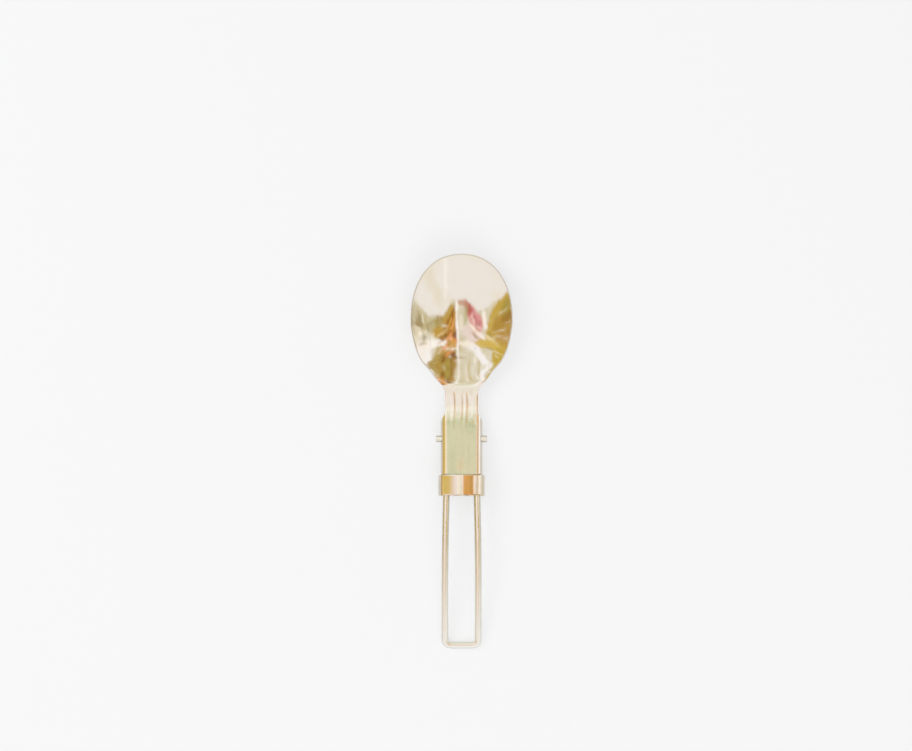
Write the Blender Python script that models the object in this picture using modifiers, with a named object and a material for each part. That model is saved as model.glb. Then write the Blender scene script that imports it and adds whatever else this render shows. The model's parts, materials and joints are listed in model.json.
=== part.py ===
"""Folding spoon: a stamped head, a bent wire handle that folds under its bowl, and a locking collar.

The head's own frame has the hinge axis as its X axis, +Y to the tip of the bowl and the tang's plate level
with the XY plane. An empty on the hinge axis tips the whole spoon until it rests on a table.
"""
import math

import bmesh
import bpy
import numpy as np
from mathutils import Matrix, Vector

MM = 0.001

# Wire handle
WIRE_RADIUS = 1.4 * MM
LEG_OFFSET_AT_TANG = 6.1 * MM
LEG_OFFSET_AT_END = 6.9 * MM
LEG_SPREAD_LENGTH = 47 * MM
STRAIGHT_LENGTH = 10 * MM
HANDLE_LENGTH = 86.5 * MM
HANDLE_ARC_RADIUS = 175 * MM
END_CORNER_RADIUS = 2.4 * MM
PIN_BEND_GAP = 0.2 * MM
PIN_PROTRUSION = 1.9 * MM
PIN_CHAMFER = 0.25 * MM

# Spoon head: sheet and tang
SHEET = 0.8 * MM
PLATE_GAP = 0.3 * MM
PIN_CLEARANCE = 0.2 * MM
EAR_MARGIN = 2.1 * MM
EAR_FRONT = 2.0 * MM
EAR_REAR = 8.4 * MM
STEP_LENGTH = 1.4 * MM
TAIL_LENGTH = 5.2 * MM
TAIL_FLANGE = 1.0 * MM
SHOULDER_LENGTH = 9.1 * MM

# Spoon head: neck and bowl
NECK_HALF_WIDTH = 6.8 * MM
NECK_LENGTH = 7.3 * MM
DISH_DELAY = 2.6 * MM
RIM_CURVE_LENGTH = 8 * MM
RIM_ANGLE = math.radians(17)
BOWL_HALF_WIDTH = 20.55 * MM
BOWL_REAR_LENGTH = 29.3 * MM
BOWL_FRONT_LENGTH = 25.8 * MM
BOWL_DEPTH = 9.0 * MM
RIM_ROUNDING = 0.16 * MM

# Slide collar
COLLAR_SHEET = 0.6 * MM
COLLAR_LENGTH = 8.5 * MM
COLLAR_CLEARANCE = 0.3 * MM
COLLAR_END_GAP = 0.1 * MM
COLLAR_CROWN_ANGLE = math.radians(20)
COLLAR_FLOOR_RADIUS = 0.6 * MM
COLLAR_RIB_HALF_WIDTH = 3.4 * MM
COLLAR_RIB_HEIGHT = 1.9 * MM
COLLAR_ROUNDING = 0.12 * MM

CUT_OVERRUN = 1.0 * MM
MERGE_DISTANCE = 0.01 * MM

# Shapes without a size: outline of the bowl behind its widest place, as shares of the rear length and of
# what the bowl is wider than the neck; the exponents of its curves; the share of the shoulder over which the
# tang's bends set in; the angle past which an edge is rounded; and the search for the resting tilt
REAR_OUTLINE_SHARES = ((0.0, 1.0), (0.32, 0.892), (0.532, 0.705), (0.684, 0.43), (0.786, 0.285), (0.86, 0.142),
                       (0.93, 0.04), (1.0, 0.0))
TIP_OUTLINE_POWER = 2.2
BOWL_SECTION_POWER = 2.2
HEEL_POWER = 1.25
BEND_ONSET_SHARE = 0.5
ROUNDED_ANGLE = math.radians(50)
STEEPEST_TILT = math.radians(45)
TILT_HALVINGS = 50

# Mesh fineness
FLAT_STEPS, BEND_STEPS, FLANGE_STEPS = 5, 5, 4
HALF_STEPS = FLAT_STEPS + BEND_STEPS + FLANGE_STEPS
FRONT_ROWS, REAR_ROWS, NECK_ROWS, SHOULDER_ROWS, EAR_ROWS, STEP_ROWS, TAIL_ROWS = 9, 14, 5, 7, 4, 3, 2
LEG_STEPS = 18
BEND_POINTS = 7
WIRE_BEVEL_RESOLUTION = 4
HOLE_SIDES = 32
CROWN_STEPS, CORNER_STEPS, FLOOR_CORNER_STEPS, RIB_STEPS = 6, 5, 3, 6

# What follows from the sizes above
HOLE_RADIUS = WIRE_RADIUS + PIN_CLEARANCE
PLATE_TOP = WIRE_RADIUS + PLATE_GAP + SHEET
FLAT_HALF_WIDTH = LEG_OFFSET_AT_TANG
TANG_HALF_WIDTH = FLAT_HALF_WIDTH + PLATE_TOP
BEND_LENGTH = PLATE_TOP * math.pi / 2
EAR_DROP = HOLE_RADIUS + EAR_MARGIN
TANG_END = -(EAR_REAR + STEP_LENGTH + TAIL_LENGTH)
NECK_START = EAR_FRONT + SHOULDER_LENGTH
BOWL_START = NECK_START + NECK_LENGTH
BOWL_MIDDLE = BOWL_START + BOWL_REAR_LENGTH
COLLAR_REST = -TANG_END + COLLAR_END_GAP + COLLAR_LENGTH / 2


def blend(first, second, share):
    """Eased step from first to second as share runs from 0 to 1."""
    share = min(max(share, 0.0), 1.0)
    return first + (second - first) * (3 - 2 * share) * share * share


def curve_through(points, place):
    """Smooth curve through (place, value) points, level at both ends and sloped by its neighbours between."""
    places = [point[0] for point in points]
    values = [point[1] for point in points]
    last = len(points) - 1
    index = min(max(sum(1 for known in places if known <= place) - 1, 0), last - 1)

    def slope(at):
        if at in (0, last):
            return 0.0
        return (values[at + 1] - values[at - 1]) / (places[at + 1] - places[at - 1])

    span = places[index + 1] - places[index]
    share = (place - places[index]) / span
    bulge = span * share * (1 - share) * (slope(index) * (1 - share) - slope(index + 1) * share)
    return blend(values[index], values[index + 1], share) + bulge


def blank_half_width(y):
    """Half width of the flat sheet at y, measured round the bends of the tang."""
    ear = FLAT_HALF_WIDTH + BEND_LENGTH + EAR_DROP
    if y > EAR_FRONT:
        return blend(ear, NECK_HALF_WIDTH, (y - EAR_FRONT) / SHOULDER_LENGTH)
    tail = FLAT_HALF_WIDTH + BEND_LENGTH + TAIL_FLANGE
    return blend(ear, tail, (-EAR_REAR - y) / STEP_LENGTH)


def bent_section(across):
    """Place (x, z) on the tang's outer face at the distance across from its centre line."""
    if across <= FLAT_HALF_WIDTH:
        return across, PLATE_TOP
    angle = min((across - FLAT_HALF_WIDTH) / PLATE_TOP, math.pi / 2)
    below = max(across - FLAT_HALF_WIDTH - BEND_LENGTH, 0.0)
    return FLAT_HALF_WIDTH + PLATE_TOP * math.sin(angle), PLATE_TOP * math.cos(angle) - below


def section_steps(half_width):
    """Distances from the centre line where a tang section of this half width has its points."""
    outer = max(half_width, FLAT_HALF_WIDTH + BEND_LENGTH + TAIL_FLANGE)
    flat = np.linspace(0, FLAT_HALF_WIDTH, FLAT_STEPS + 1)
    bend = np.linspace(FLAT_HALF_WIDTH, FLAT_HALF_WIDTH + BEND_LENGTH, BEND_STEPS + 1)[1:]
    flange = np.linspace(FLAT_HALF_WIDTH + BEND_LENGTH, outer, FLANGE_STEPS + 1)[1:]
    return np.concatenate([flat, bend, flange]) * (half_width / outer)


def rim_rise(y):
    """Height of the rim above the tang's plate: level, then a curve, then a straight slope to the tip."""
    past = max(y - NECK_START, 0.0)
    slope = math.tan(RIM_ANGLE)
    if past < RIM_CURVE_LENGTH:
        return slope * past ** 2 / (2 * RIM_CURVE_LENGTH)
    return slope * (past - RIM_CURVE_LENGTH / 2)


def dish_depth(y):
    """Depth of the bowl on its centre line, from just past the neck to the widest place."""
    share = (y - BOWL_START - DISH_DELAY) / (BOWL_REAR_LENGTH - DISH_DELAY)
    share = min(max(share, 0.0), 1.0)
    return BOWL_DEPTH * (1 - (1 - share) ** 2) ** HEEL_POWER


def tang_row(y):
    """Points of one section of tang, shoulder or neck, from the centre line to the edge."""
    half_width = blank_half_width(y)
    bent_share = min(max((NECK_START - y) / (SHOULDER_LENGTH * BEND_ONSET_SHARE), 0.0), 1.0)
    even = np.linspace(0, half_width, HALF_STEPS + 1)
    row = []
    for across, plain in zip(section_steps(half_width), even):
        x, z = bent_section(plain + (across - plain) * bent_share)
        dish = dish_depth(y) * (1 - (plain / half_width) ** BOWL_SECTION_POWER)
        row.append((x, y, z + rim_rise(y) - dish))
    return row


def bowl_rear_row(y):
    """Points of one section of the bowl behind its widest place."""
    share = curve_through(REAR_OUTLINE_SHARES, (BOWL_MIDDLE - y) / BOWL_REAR_LENGTH)
    half_width = NECK_HALF_WIDTH + (BOWL_HALF_WIDTH - NECK_HALF_WIDTH) * share
    row = []
    for across in np.linspace(0, 1, HALF_STEPS + 1):
        dish = dish_depth(y) * (1 - across ** BOWL_SECTION_POWER)
        row.append((half_width * across, y, PLATE_TOP + rim_rise(y) - dish))
    return row


def bowl_front_row(along):
    """Points of one line across the front of the bowl; the last one, along = 1, is the rim round the tip.

    A square grid is drawn onto a quarter disc, and the disc onto a slightly squarer oval.
    """
    row = []
    for across in np.linspace(0, 1, HALF_STEPS + 1):
        disc_x = across * math.sqrt(1 - along ** 2 / 2)
        disc_y = along * math.sqrt(1 - across ** 2 / 2)
        radius = math.hypot(disc_x, disc_y)
        oval = (disc_x ** TIP_OUTLINE_POWER + disc_y ** TIP_OUTLINE_POWER) ** (1 / TIP_OUTLINE_POWER)
        scale = radius / oval if oval > 0 else 1
        y = BOWL_MIDDLE + BOWL_FRONT_LENGTH * disc_y * scale
        dish = BOWL_DEPTH * (1 - radius ** BOWL_SECTION_POWER)
        row.append((BOWL_HALF_WIDTH * disc_x * scale, y, PLATE_TOP + rim_rise(y) - dish))
    return row


def head_rows():
    """Rows of the head's upper face from the tang's end to the bowl's tip."""
    ear_end = -EAR_REAR - STEP_LENGTH
    stretches = ((TANG_END, ear_end, TAIL_ROWS), (ear_end, -EAR_REAR, STEP_ROWS),
                 (-EAR_REAR, EAR_FRONT, EAR_ROWS), (EAR_FRONT, NECK_START, SHOULDER_ROWS),
                 (NECK_START, BOWL_START, NECK_ROWS))
    rows = [tang_row(y) for start, end, count in stretches
            for y in np.linspace(start, end, count, endpoint=False)]
    rows += [bowl_rear_row(y) for y in np.linspace(BOWL_START, BOWL_MIDDLE, REAR_ROWS, endpoint=False)]
    rows += [bowl_front_row(along) for along in np.linspace(0, 1, FRONT_ROWS + 1)]
    return rows


def make_collection(name):
    """New collection in the scene."""
    collection = bpy.data.collections.new(name)
    bpy.context.scene.collection.children.link(collection)
    return collection


def make_metal(name, colour, roughness):
    """Principled material of a bare metal."""
    material = bpy.data.materials.new(name)
    material.use_nodes = True
    shader = material.node_tree.nodes["Principled BSDF"]
    shader.inputs["Base Color"].default_value = (*colour, 1)
    shader.inputs["Metallic"].default_value = 1
    shader.inputs["Roughness"].default_value = roughness
    return material


def make_sheet(name, rows, collection, closed=False):
    """Object whose mesh is an open sheet of quads through rows of points; closed joins each row's ends."""
    mesh = bpy.data.meshes.new(name)
    sheet = bmesh.new()
    grid = [[sheet.verts.new(point) for point in row] for row in rows]
    for near, far in zip(grid, grid[1:]):
        count = len(near) if closed else len(near) - 1
        for index in range(count):
            after = (index + 1) % len(near)
            sheet.faces.new((near[index], near[after], far[after], far[index]))
    sheet.to_mesh(mesh)
    sheet.free()
    mesh.shade_smooth()
    thing = bpy.data.objects.new(name, mesh)
    collection.objects.link(thing)
    return thing


def add_mirror(thing):
    """Mirror modifier across X that joins the halves at the plane."""
    mirror = thing.modifiers.new("Mirror", "MIRROR")
    mirror.use_axis = (True, False, False)
    mirror.merge_threshold = MERGE_DISTANCE


def add_thickness(thing, thickness, offset):
    """Solidify modifier; offset -1 grows against the face normals and 1 along them."""
    solidify = thing.modifiers.new("Solidify", "SOLIDIFY")
    solidify.thickness = thickness
    solidify.offset = offset
    solidify.use_even_offset = True


def add_rounding(thing, width):
    """Bevel modifier on the sheet's cut edges."""
    bevel = thing.modifiers.new("Bevel", "BEVEL")
    bevel.width = width
    bevel.segments = 1
    bevel.limit_method = "ANGLE"
    bevel.angle_limit = ROUNDED_ANGLE


def make_pin_cutter(collection):
    """Round bar along the hinge axis that cuts the pin holes through both ears."""
    mesh = bpy.data.meshes.new("pin_cutter")
    bar = bmesh.new()
    along_hinge = Matrix.Rotation(math.pi / 2, 4, "Y")
    bmesh.ops.create_cone(bar, cap_ends=True, segments=HOLE_SIDES, radius1=HOLE_RADIUS, radius2=HOLE_RADIUS,
                          depth=2 * (TANG_HALF_WIDTH + CUT_OVERRUN), matrix=along_hinge)
    bar.to_mesh(mesh)
    bar.free()
    cutter = bpy.data.objects.new("pin_cutter", mesh)
    cutter.hide_render = True
    cutter.display_type = "WIRE"
    collection.objects.link(cutter)
    return cutter


def make_head(parts, cutters):
    """Bowl, neck and tang with its ears, as one stamped and bent sheet."""
    head = make_sheet("spoon_head", head_rows(), parts)
    add_mirror(head)
    add_thickness(head, SHEET, -1)
    add_rounding(head, RIM_ROUNDING)
    cutter = make_pin_cutter(cutters)
    holes = head.modifiers.new("Pin holes", "BOOLEAN")
    holes.operation = "DIFFERENCE"
    holes.solver = "EXACT"
    holes.object = cutter
    head.data.materials.append(make_metal("polished_head_steel", (0.80, 0.76, 0.66), 0.12))
    return head, cutter


def on_handle_arc(along):
    """Place (y, z) on the handle's centre line: straight from the hinge, then an arc that droops."""
    if along <= STRAIGHT_LENGTH:
        return -along, 0.0
    angle = (along - STRAIGHT_LENGTH) / HANDLE_ARC_RADIUS
    return -STRAIGHT_LENGTH - HANDLE_ARC_RADIUS * math.sin(angle), HANDLE_ARC_RADIUS * (math.cos(angle) - 1)


def leg_offset(along):
    """Distance of a leg from the centre line, which grows smoothly past the tang."""
    share = min(max((along + TANG_END) / LEG_SPREAD_LENGTH, 0.0), 1.0)
    return LEG_OFFSET_AT_TANG + (LEG_OFFSET_AT_END - LEG_OFFSET_AT_TANG) * math.sin(share * math.pi / 2)


def half_wire_outline():
    """Flat outline (x, along) of half the wire, from its pin end to the middle of the crossbar."""
    bend_radius = WIRE_RADIUS + PIN_BEND_GAP
    pin_end = TANG_HALF_WIDTH + PIN_PROTRUSION
    outline = [(pin_end, 0.0), (pin_end - PIN_CHAMFER, 0.0)]
    for angle in np.linspace(math.pi / 2, 0, BEND_POINTS):
        outline.append((LEG_OFFSET_AT_TANG + bend_radius * (1 - math.cos(angle)),
                        bend_radius * (1 - math.sin(angle))))
    leg_end = HANDLE_LENGTH - END_CORNER_RADIUS
    for along in np.linspace(bend_radius, leg_end, LEG_STEPS + 1)[1:]:
        outline.append((leg_offset(along), along))
    for angle in np.linspace(0, math.pi / 2, BEND_POINTS)[1:]:
        outline.append((LEG_OFFSET_AT_END - END_CORNER_RADIUS * (1 - math.cos(angle)),
                        leg_end + END_CORNER_RADIUS * math.sin(angle)))
    return outline


def make_handle(parts):
    """Long U of one wire, drooping along an arc, whose turned-out ends are the hinge pins."""
    half = half_wire_outline()
    outline = half + [(-x, along) for x, along in reversed(half)]
    curve = bpy.data.curves.new("wire_handle", "CURVE")
    curve.dimensions = "3D"
    curve.bevel_depth = WIRE_RADIUS
    curve.bevel_resolution = WIRE_BEVEL_RESOLUTION
    curve.use_fill_caps = True
    wire = curve.splines.new("POLY")
    wire.points.add(len(outline) - 1)
    for point, (x, along) in zip(wire.points, outline):
        point.co = (x, *on_handle_arc(along), 1)
    chamfered = 1 - PIN_CHAMFER / WIRE_RADIUS
    wire.points[0].radius = chamfered
    wire.points[-1].radius = chamfered
    handle = bpy.data.objects.new("wire_handle", curve)
    curve.materials.append(make_metal("drawn_wire_steel", (0.82, 0.79, 0.72), 0.2))
    parts.objects.link(handle)
    return handle


def collar_half_section():
    """Inner outline (x, z) of half the collar about the wires' centre plane, top middle to floor middle.

    The arched top meets the round corner where both slope by the crown's angle.
    """
    corner_radius = PLATE_TOP + COLLAR_CLEARANCE
    half_width = FLAT_HALF_WIDTH + corner_radius
    arch_half_width = FLAT_HALF_WIDTH + corner_radius * math.sin(COLLAR_CROWN_ANGLE)
    arch_height = arch_half_width * math.tan(COLLAR_CROWN_ANGLE) / 2
    arch_foot = corner_radius * math.cos(COLLAR_CROWN_ANGLE)
    floor = -max(WIRE_RADIUS, TAIL_FLANGE) - COLLAR_CLEARANCE
    outline = []
    for share in np.linspace(0, 1, CROWN_STEPS, endpoint=False):
        outline.append((arch_half_width * share, arch_foot + arch_height * (1 - share ** 2)))
    for angle in np.linspace(COLLAR_CROWN_ANGLE, math.pi / 2, CORNER_STEPS + 1):
        outline.append((FLAT_HALF_WIDTH + corner_radius * math.sin(angle), corner_radius * math.cos(angle)))
    for angle in np.linspace(0, math.pi / 2, FLOOR_CORNER_STEPS + 1):
        outline.append((half_width - COLLAR_FLOOR_RADIUS * (1 - math.cos(angle)),
                        floor + COLLAR_FLOOR_RADIUS * (1 - math.sin(angle))))
    for share in np.linspace(1, 0, RIB_STEPS + 1):
        outline.append((COLLAR_RIB_HALF_WIDTH * share, floor + blend(COLLAR_RIB_HEIGHT, 0, share)))
    return outline


def make_collar(parts):
    """Flattened band round both legs, made over its own origin, which is the centre of the handle's arc.

    The rib pressed up in its floor runs between the legs and meets the crossbar, so it can't slide off.
    """
    section = collar_half_section()
    rows = [[(x, y, HANDLE_ARC_RADIUS + z) for x, z in section]
            for y in (-COLLAR_LENGTH / 2, COLLAR_LENGTH / 2)]
    collar = make_sheet("slide_collar", rows, parts)
    add_mirror(collar)
    add_thickness(collar, COLLAR_SHEET, 1)
    add_rounding(collar, COLLAR_ROUNDING)
    collar.data.materials.append(make_metal("bright_collar_steel", (0.83, 0.78, 0.68), 0.1))
    return collar


def world_points(things):
    """Vertices of the finished shapes of some objects, in world coordinates."""
    graph = bpy.context.evaluated_depsgraph_get()
    points = []
    for thing in things:
        seen = thing.evaluated_get(graph)
        mesh = seen.to_mesh()
        points += [seen.matrix_world @ vertex.co for vertex in mesh.vertices]
        seen.to_mesh_clear()
    return np.array(points)


def resting_tilt(head_points, handle_points):
    """Angle about X at which the bowl and the handle's end reach equally low, found by halving."""
    def bowl_above_handle(tilt):
        direction = np.array((0.0, -math.sin(tilt), math.cos(tilt)))
        return (head_points @ direction).min() - (handle_points @ direction).min()

    low, high = 0.0, STEEPEST_TILT
    for _ in range(TILT_HALVINGS):
        middle = (low + high) / 2
        if bowl_above_handle(middle) > 0:
            low = middle
        else:
            high = middle
    return low


def main():
    """Make the parts, hang them on the hinge's empty and set the spoon down on its table."""
    for thing in list(bpy.data.objects):
        bpy.data.objects.remove(thing, do_unlink=True)
    parts = make_collection("folding_spoon")
    cutters = make_collection("cutters")
    hinge = bpy.data.objects.new("hinge_axis", None)
    parts.objects.link(hinge)
    head, cutter = make_head(parts, cutters)
    handle = make_handle(parts)
    collar = make_collar(parts)
    for thing in (head, cutter, handle):
        thing.parent = hinge
    collar.parent = handle
    collar.location = (0, -STRAIGHT_LENGTH, -HANDLE_ARC_RADIUS)
    collar.rotation_euler.x = (COLLAR_REST - STRAIGHT_LENGTH) / HANDLE_ARC_RADIUS

    bpy.context.view_layer.update()
    hinge.rotation_euler.x = -resting_tilt(world_points([head]), world_points([handle]))
    bpy.context.view_layer.update()
    points = world_points([head, handle, collar])
    low, high = points.min(axis=0), points.max(axis=0)
    hinge.location = Vector((0.0, -(low[1] + high[1]) / 2, -low[2]))


main()
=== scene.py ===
"""Folding spoon: a stamped head, a bent wire handle and a sliding collar, all of polished steel.

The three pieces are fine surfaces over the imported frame's solids. Lengths are in metres. The head's own
frame has the hinge axis as X, +Y to the tip of the bowl and the tang's plate level; HingeFrame lays it on
the table.
"""
import json
import logging
import math
from collections.abc import Mapping
from dataclasses import dataclass
from enum import Enum

import bpy
import numpy as np
from mathutils import Matrix, Vector


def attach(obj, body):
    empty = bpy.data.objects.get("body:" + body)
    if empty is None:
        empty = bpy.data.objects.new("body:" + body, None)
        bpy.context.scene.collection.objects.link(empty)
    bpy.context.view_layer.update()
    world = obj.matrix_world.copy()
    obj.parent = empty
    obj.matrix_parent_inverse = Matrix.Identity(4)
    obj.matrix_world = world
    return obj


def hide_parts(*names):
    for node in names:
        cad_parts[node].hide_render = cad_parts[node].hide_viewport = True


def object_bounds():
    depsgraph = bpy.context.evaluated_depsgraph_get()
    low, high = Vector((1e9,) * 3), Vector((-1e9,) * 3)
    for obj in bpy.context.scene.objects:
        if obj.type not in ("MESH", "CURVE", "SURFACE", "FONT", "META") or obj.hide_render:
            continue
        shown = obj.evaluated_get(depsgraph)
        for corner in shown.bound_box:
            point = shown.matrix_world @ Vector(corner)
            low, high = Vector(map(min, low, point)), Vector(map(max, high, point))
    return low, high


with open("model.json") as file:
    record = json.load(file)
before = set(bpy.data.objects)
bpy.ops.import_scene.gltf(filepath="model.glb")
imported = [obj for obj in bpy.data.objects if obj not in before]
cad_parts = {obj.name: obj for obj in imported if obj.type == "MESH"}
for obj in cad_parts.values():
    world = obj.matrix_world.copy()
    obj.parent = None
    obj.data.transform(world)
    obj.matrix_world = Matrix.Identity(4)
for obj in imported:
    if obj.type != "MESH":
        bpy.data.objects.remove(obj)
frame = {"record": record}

CAD_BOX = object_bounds()
LOG = logging.getLogger("folding_spoon")
MM = 0.001
EDGE_ANGLE = math.radians(50)
EDGE_SEGMENTS = 3
NOISE_MIDDLE = 0.5
TINY = 1e-12
Colour = tuple[float, float, float]


# Shapes worked out on grids

def eased(share: np.ndarray) -> np.ndarray:
    """Smooth step 3s^2 - 2s^3 of a share that is first held between 0 and 1."""
    share = np.clip(share, 0.0, 1.0)
    return share * share * (3 - 2 * share)


def eased_between(first: float, second: float, share: np.ndarray) -> np.ndarray:
    """Smooth step from first to second.

    Args:
        first: value where share is 0 or less.
        second: value where share is 1 or more.
        share: how far along each point is.

    Returns:
        The value at each point.
    """
    return first + (second - first) * eased(share)


def steps(*stretches: tuple[float, float, int]) -> np.ndarray:
    """Places along a line, evenly spaced in each stretch.

    Args:
        stretches: start, end and number of steps of each stretch, which follow one another.

    Returns:
        The places, the last end included.
    """
    parts = [np.linspace(start, end, count, endpoint=False) for start, end, count in stretches]
    return np.concatenate([*parts, [stretches[-1][1]]])


def curve_through(points: tuple[tuple[float, float], ...], places: np.ndarray) -> np.ndarray:
    """Smooth curve through points, level at both ends and sloped by its neighbours between.

    On each span it is the smooth step between the two values plus a cubic that adds the slopes at the span's
    two ends and is zero there.

    Args:
        points: place and value of each point, in order.
        places: where the curve is wanted.

    Returns:
        The curve's value at each place.
    """
    known, values = np.array(points).T
    slopes = np.zeros(len(known))
    slopes[1:-1] = (values[2:] - values[:-2]) / (known[2:] - known[:-2])
    index = np.clip(np.searchsorted(known, places, side="right") - 1, 0, len(known) - 2)
    span = known[index + 1] - known[index]
    share = (places - known[index]) / span
    bulge = span * share * (1 - share) * (slopes[index] * (1 - share) - slopes[index + 1] * share)
    return values[index] + (values[index + 1] - values[index]) * eased(share) + bulge


@dataclass(frozen=True)
class HingeFrame:
    """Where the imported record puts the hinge, the centre of the handle's arc, and how it tips the spoon."""

    hinge: tuple[float, float, float]
    arc_centre: tuple[float, float, float]
    tilt: float

    @classmethod
    def from_record(cls, record: Mapping) -> "HingeFrame":
        """Reads the places from the record's joints and the tilt from the tang face's normal.

        Args:
            record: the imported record.

        Returns:
            The frame.
        """
        joints = {joint["name"]: joint for joint in record["behaviour"]["joints"]}
        normal = record["mounts"][0]["axis"]
        return cls(tuple(joints["fold_hinge"]["pos_m"]), tuple(joints["collar_travel"]["pos_m"]),
                   math.atan2(normal[1], normal[2]))

    @property
    def arc_radius(self) -> float:
        """Distance from the arc's centre to the wires' centre line, which is level with the hinge."""
        return (self.hinge[2] - self.arc_centre[2]) * math.cos(self.tilt) + (
            self.hinge[1] - self.arc_centre[1]) * math.sin(self.tilt)

    @property
    def straight_length(self) -> float:
        """Length of the wire's straight run from the hinge to the start of its arc."""
        return (self.hinge[1] - self.arc_centre[1]) * math.cos(self.tilt) - (
            self.hinge[2] - self.arc_centre[2]) * math.sin(self.tilt)

    def on_table(self, points: np.ndarray) -> np.ndarray:
        """Turns points of the head's own frame down about X by the tilt and moves them to the hinge."""
        turned = points @ np.array(Matrix.Rotation(-self.tilt, 3, "X")).T
        return turned + np.array(self.hinge)


# Meshes and modifiers

class MeshWriter:
    """Puts worked-out points into Blender meshes."""

    @staticmethod
    def write(name: str, points: np.ndarray, quads: np.ndarray, lay: np.ndarray | None = None
              ) -> bpy.types.Object:
        """Makes an object of quads.

        Args:
            name: name of the object and its mesh.
            points: N x 3 places.
            quads: M x 4 indices; a repeated last index makes a triangle.
            lay: N x 2 places of the points on the piece's own surface, for its UV map.

        Returns:
            The linked object.
        """
        sides = np.where(quads[:, 3] == quads[:, 2], 3, 4)
        corners = quads[np.arange(4) < sides[:, None]]
        mesh = bpy.data.meshes.new(name)
        mesh.vertices.add(len(points))
        mesh.vertices.foreach_set("co", points.astype(np.float32).ravel())
        mesh.loops.add(len(corners))
        mesh.loops.foreach_set("vertex_index", corners.astype(np.int32))
        mesh.polygons.add(len(quads))
        mesh.polygons.foreach_set("loop_start", (np.cumsum(sides) - sides).astype(np.int32))
        if lay is not None:
            layer = mesh.uv_layers.new(name="Lay")
            layer.data.foreach_set("uv", lay[corners].astype(np.float32).ravel())
        mesh.update(calc_edges=True)
        mesh.validate()
        mesh.shade_smooth()
        piece = bpy.data.objects.new(name, mesh)
        bpy.context.scene.collection.objects.link(piece)
        return piece

    @staticmethod
    def grid_quads(rows: int, columns: int, closed: bool = False) -> np.ndarray:
        """Quads of a grid of points.

        Args:
            rows: number of rows of points.
            columns: number of points in a row.
            closed: joins the last column to the first.

        Returns:
            M x 4 indices.
        """
        index = np.arange(rows * columns).reshape(rows, columns)
        after = np.roll(index, -1, axis=1)
        if not closed:
            index, after = index[:, :-1], after[:, :-1]
        return np.stack([index[:-1], after[:-1], after[1:], index[1:]], axis=-1).reshape(-1, 4)

    @staticmethod
    def settle(piece: bpy.types.Object, crease: float) -> None:
        """Applies a piece's modifiers, removes what cut it and marks its sharp edges.

        Args:
            piece: the object.
            crease: angle from which an edge is sharp.
        """
        seen = piece.evaluated_get(bpy.context.evaluated_depsgraph_get())
        mesh = bpy.data.meshes.new_from_object(seen)
        cutters = [modifier.object for modifier in piece.modifiers if modifier.type == "BOOLEAN"]
        piece.modifiers.clear()
        piece.data = mesh
        mesh.name = piece.name
        mesh.shade_smooth()
        mesh.set_sharp_from_angle(angle=crease)
        for cutter in cutters:
            bpy.data.objects.remove(cutter, do_unlink=True)


def add_thickness(piece: bpy.types.Object, thickness: float, offset: float) -> None:
    """Solidify modifier that makes sheet of a surface.

    Args:
        piece: the surface.
        thickness: thickness of the sheet.
        offset: -1 grows against the face normals and 1 along them.
    """
    solidify = piece.modifiers.new("Solidify", "SOLIDIFY")
    solidify.thickness = thickness
    solidify.offset = offset
    solidify.use_even_offset = True


def add_rounding(piece: bpy.types.Object, width: float) -> None:
    """Bevel modifier on the steep edges of cut sheet.

    Args:
        piece: the sheet.
        width: how far the rounding reaches from an edge.
    """
    bevel = piece.modifiers.new("Bevel", "BEVEL")
    bevel.width = width
    bevel.segments = EDGE_SEGMENTS
    bevel.limit_method = "ANGLE"
    bevel.angle_limit = EDGE_ANGLE


def cut_out(piece: bpy.types.Object, cutter: bpy.types.Object) -> None:
    """Boolean modifier that takes the cutter's shape out of a piece.

    Args:
        piece: what is cut.
        cutter: closed shape, removed when the piece is settled.
    """
    cut = piece.modifiers.new("Cut", "BOOLEAN")
    cut.operation = "DIFFERENCE"
    cut.solver = "EXACT"
    cut.object = cutter


# Shader writing

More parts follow.
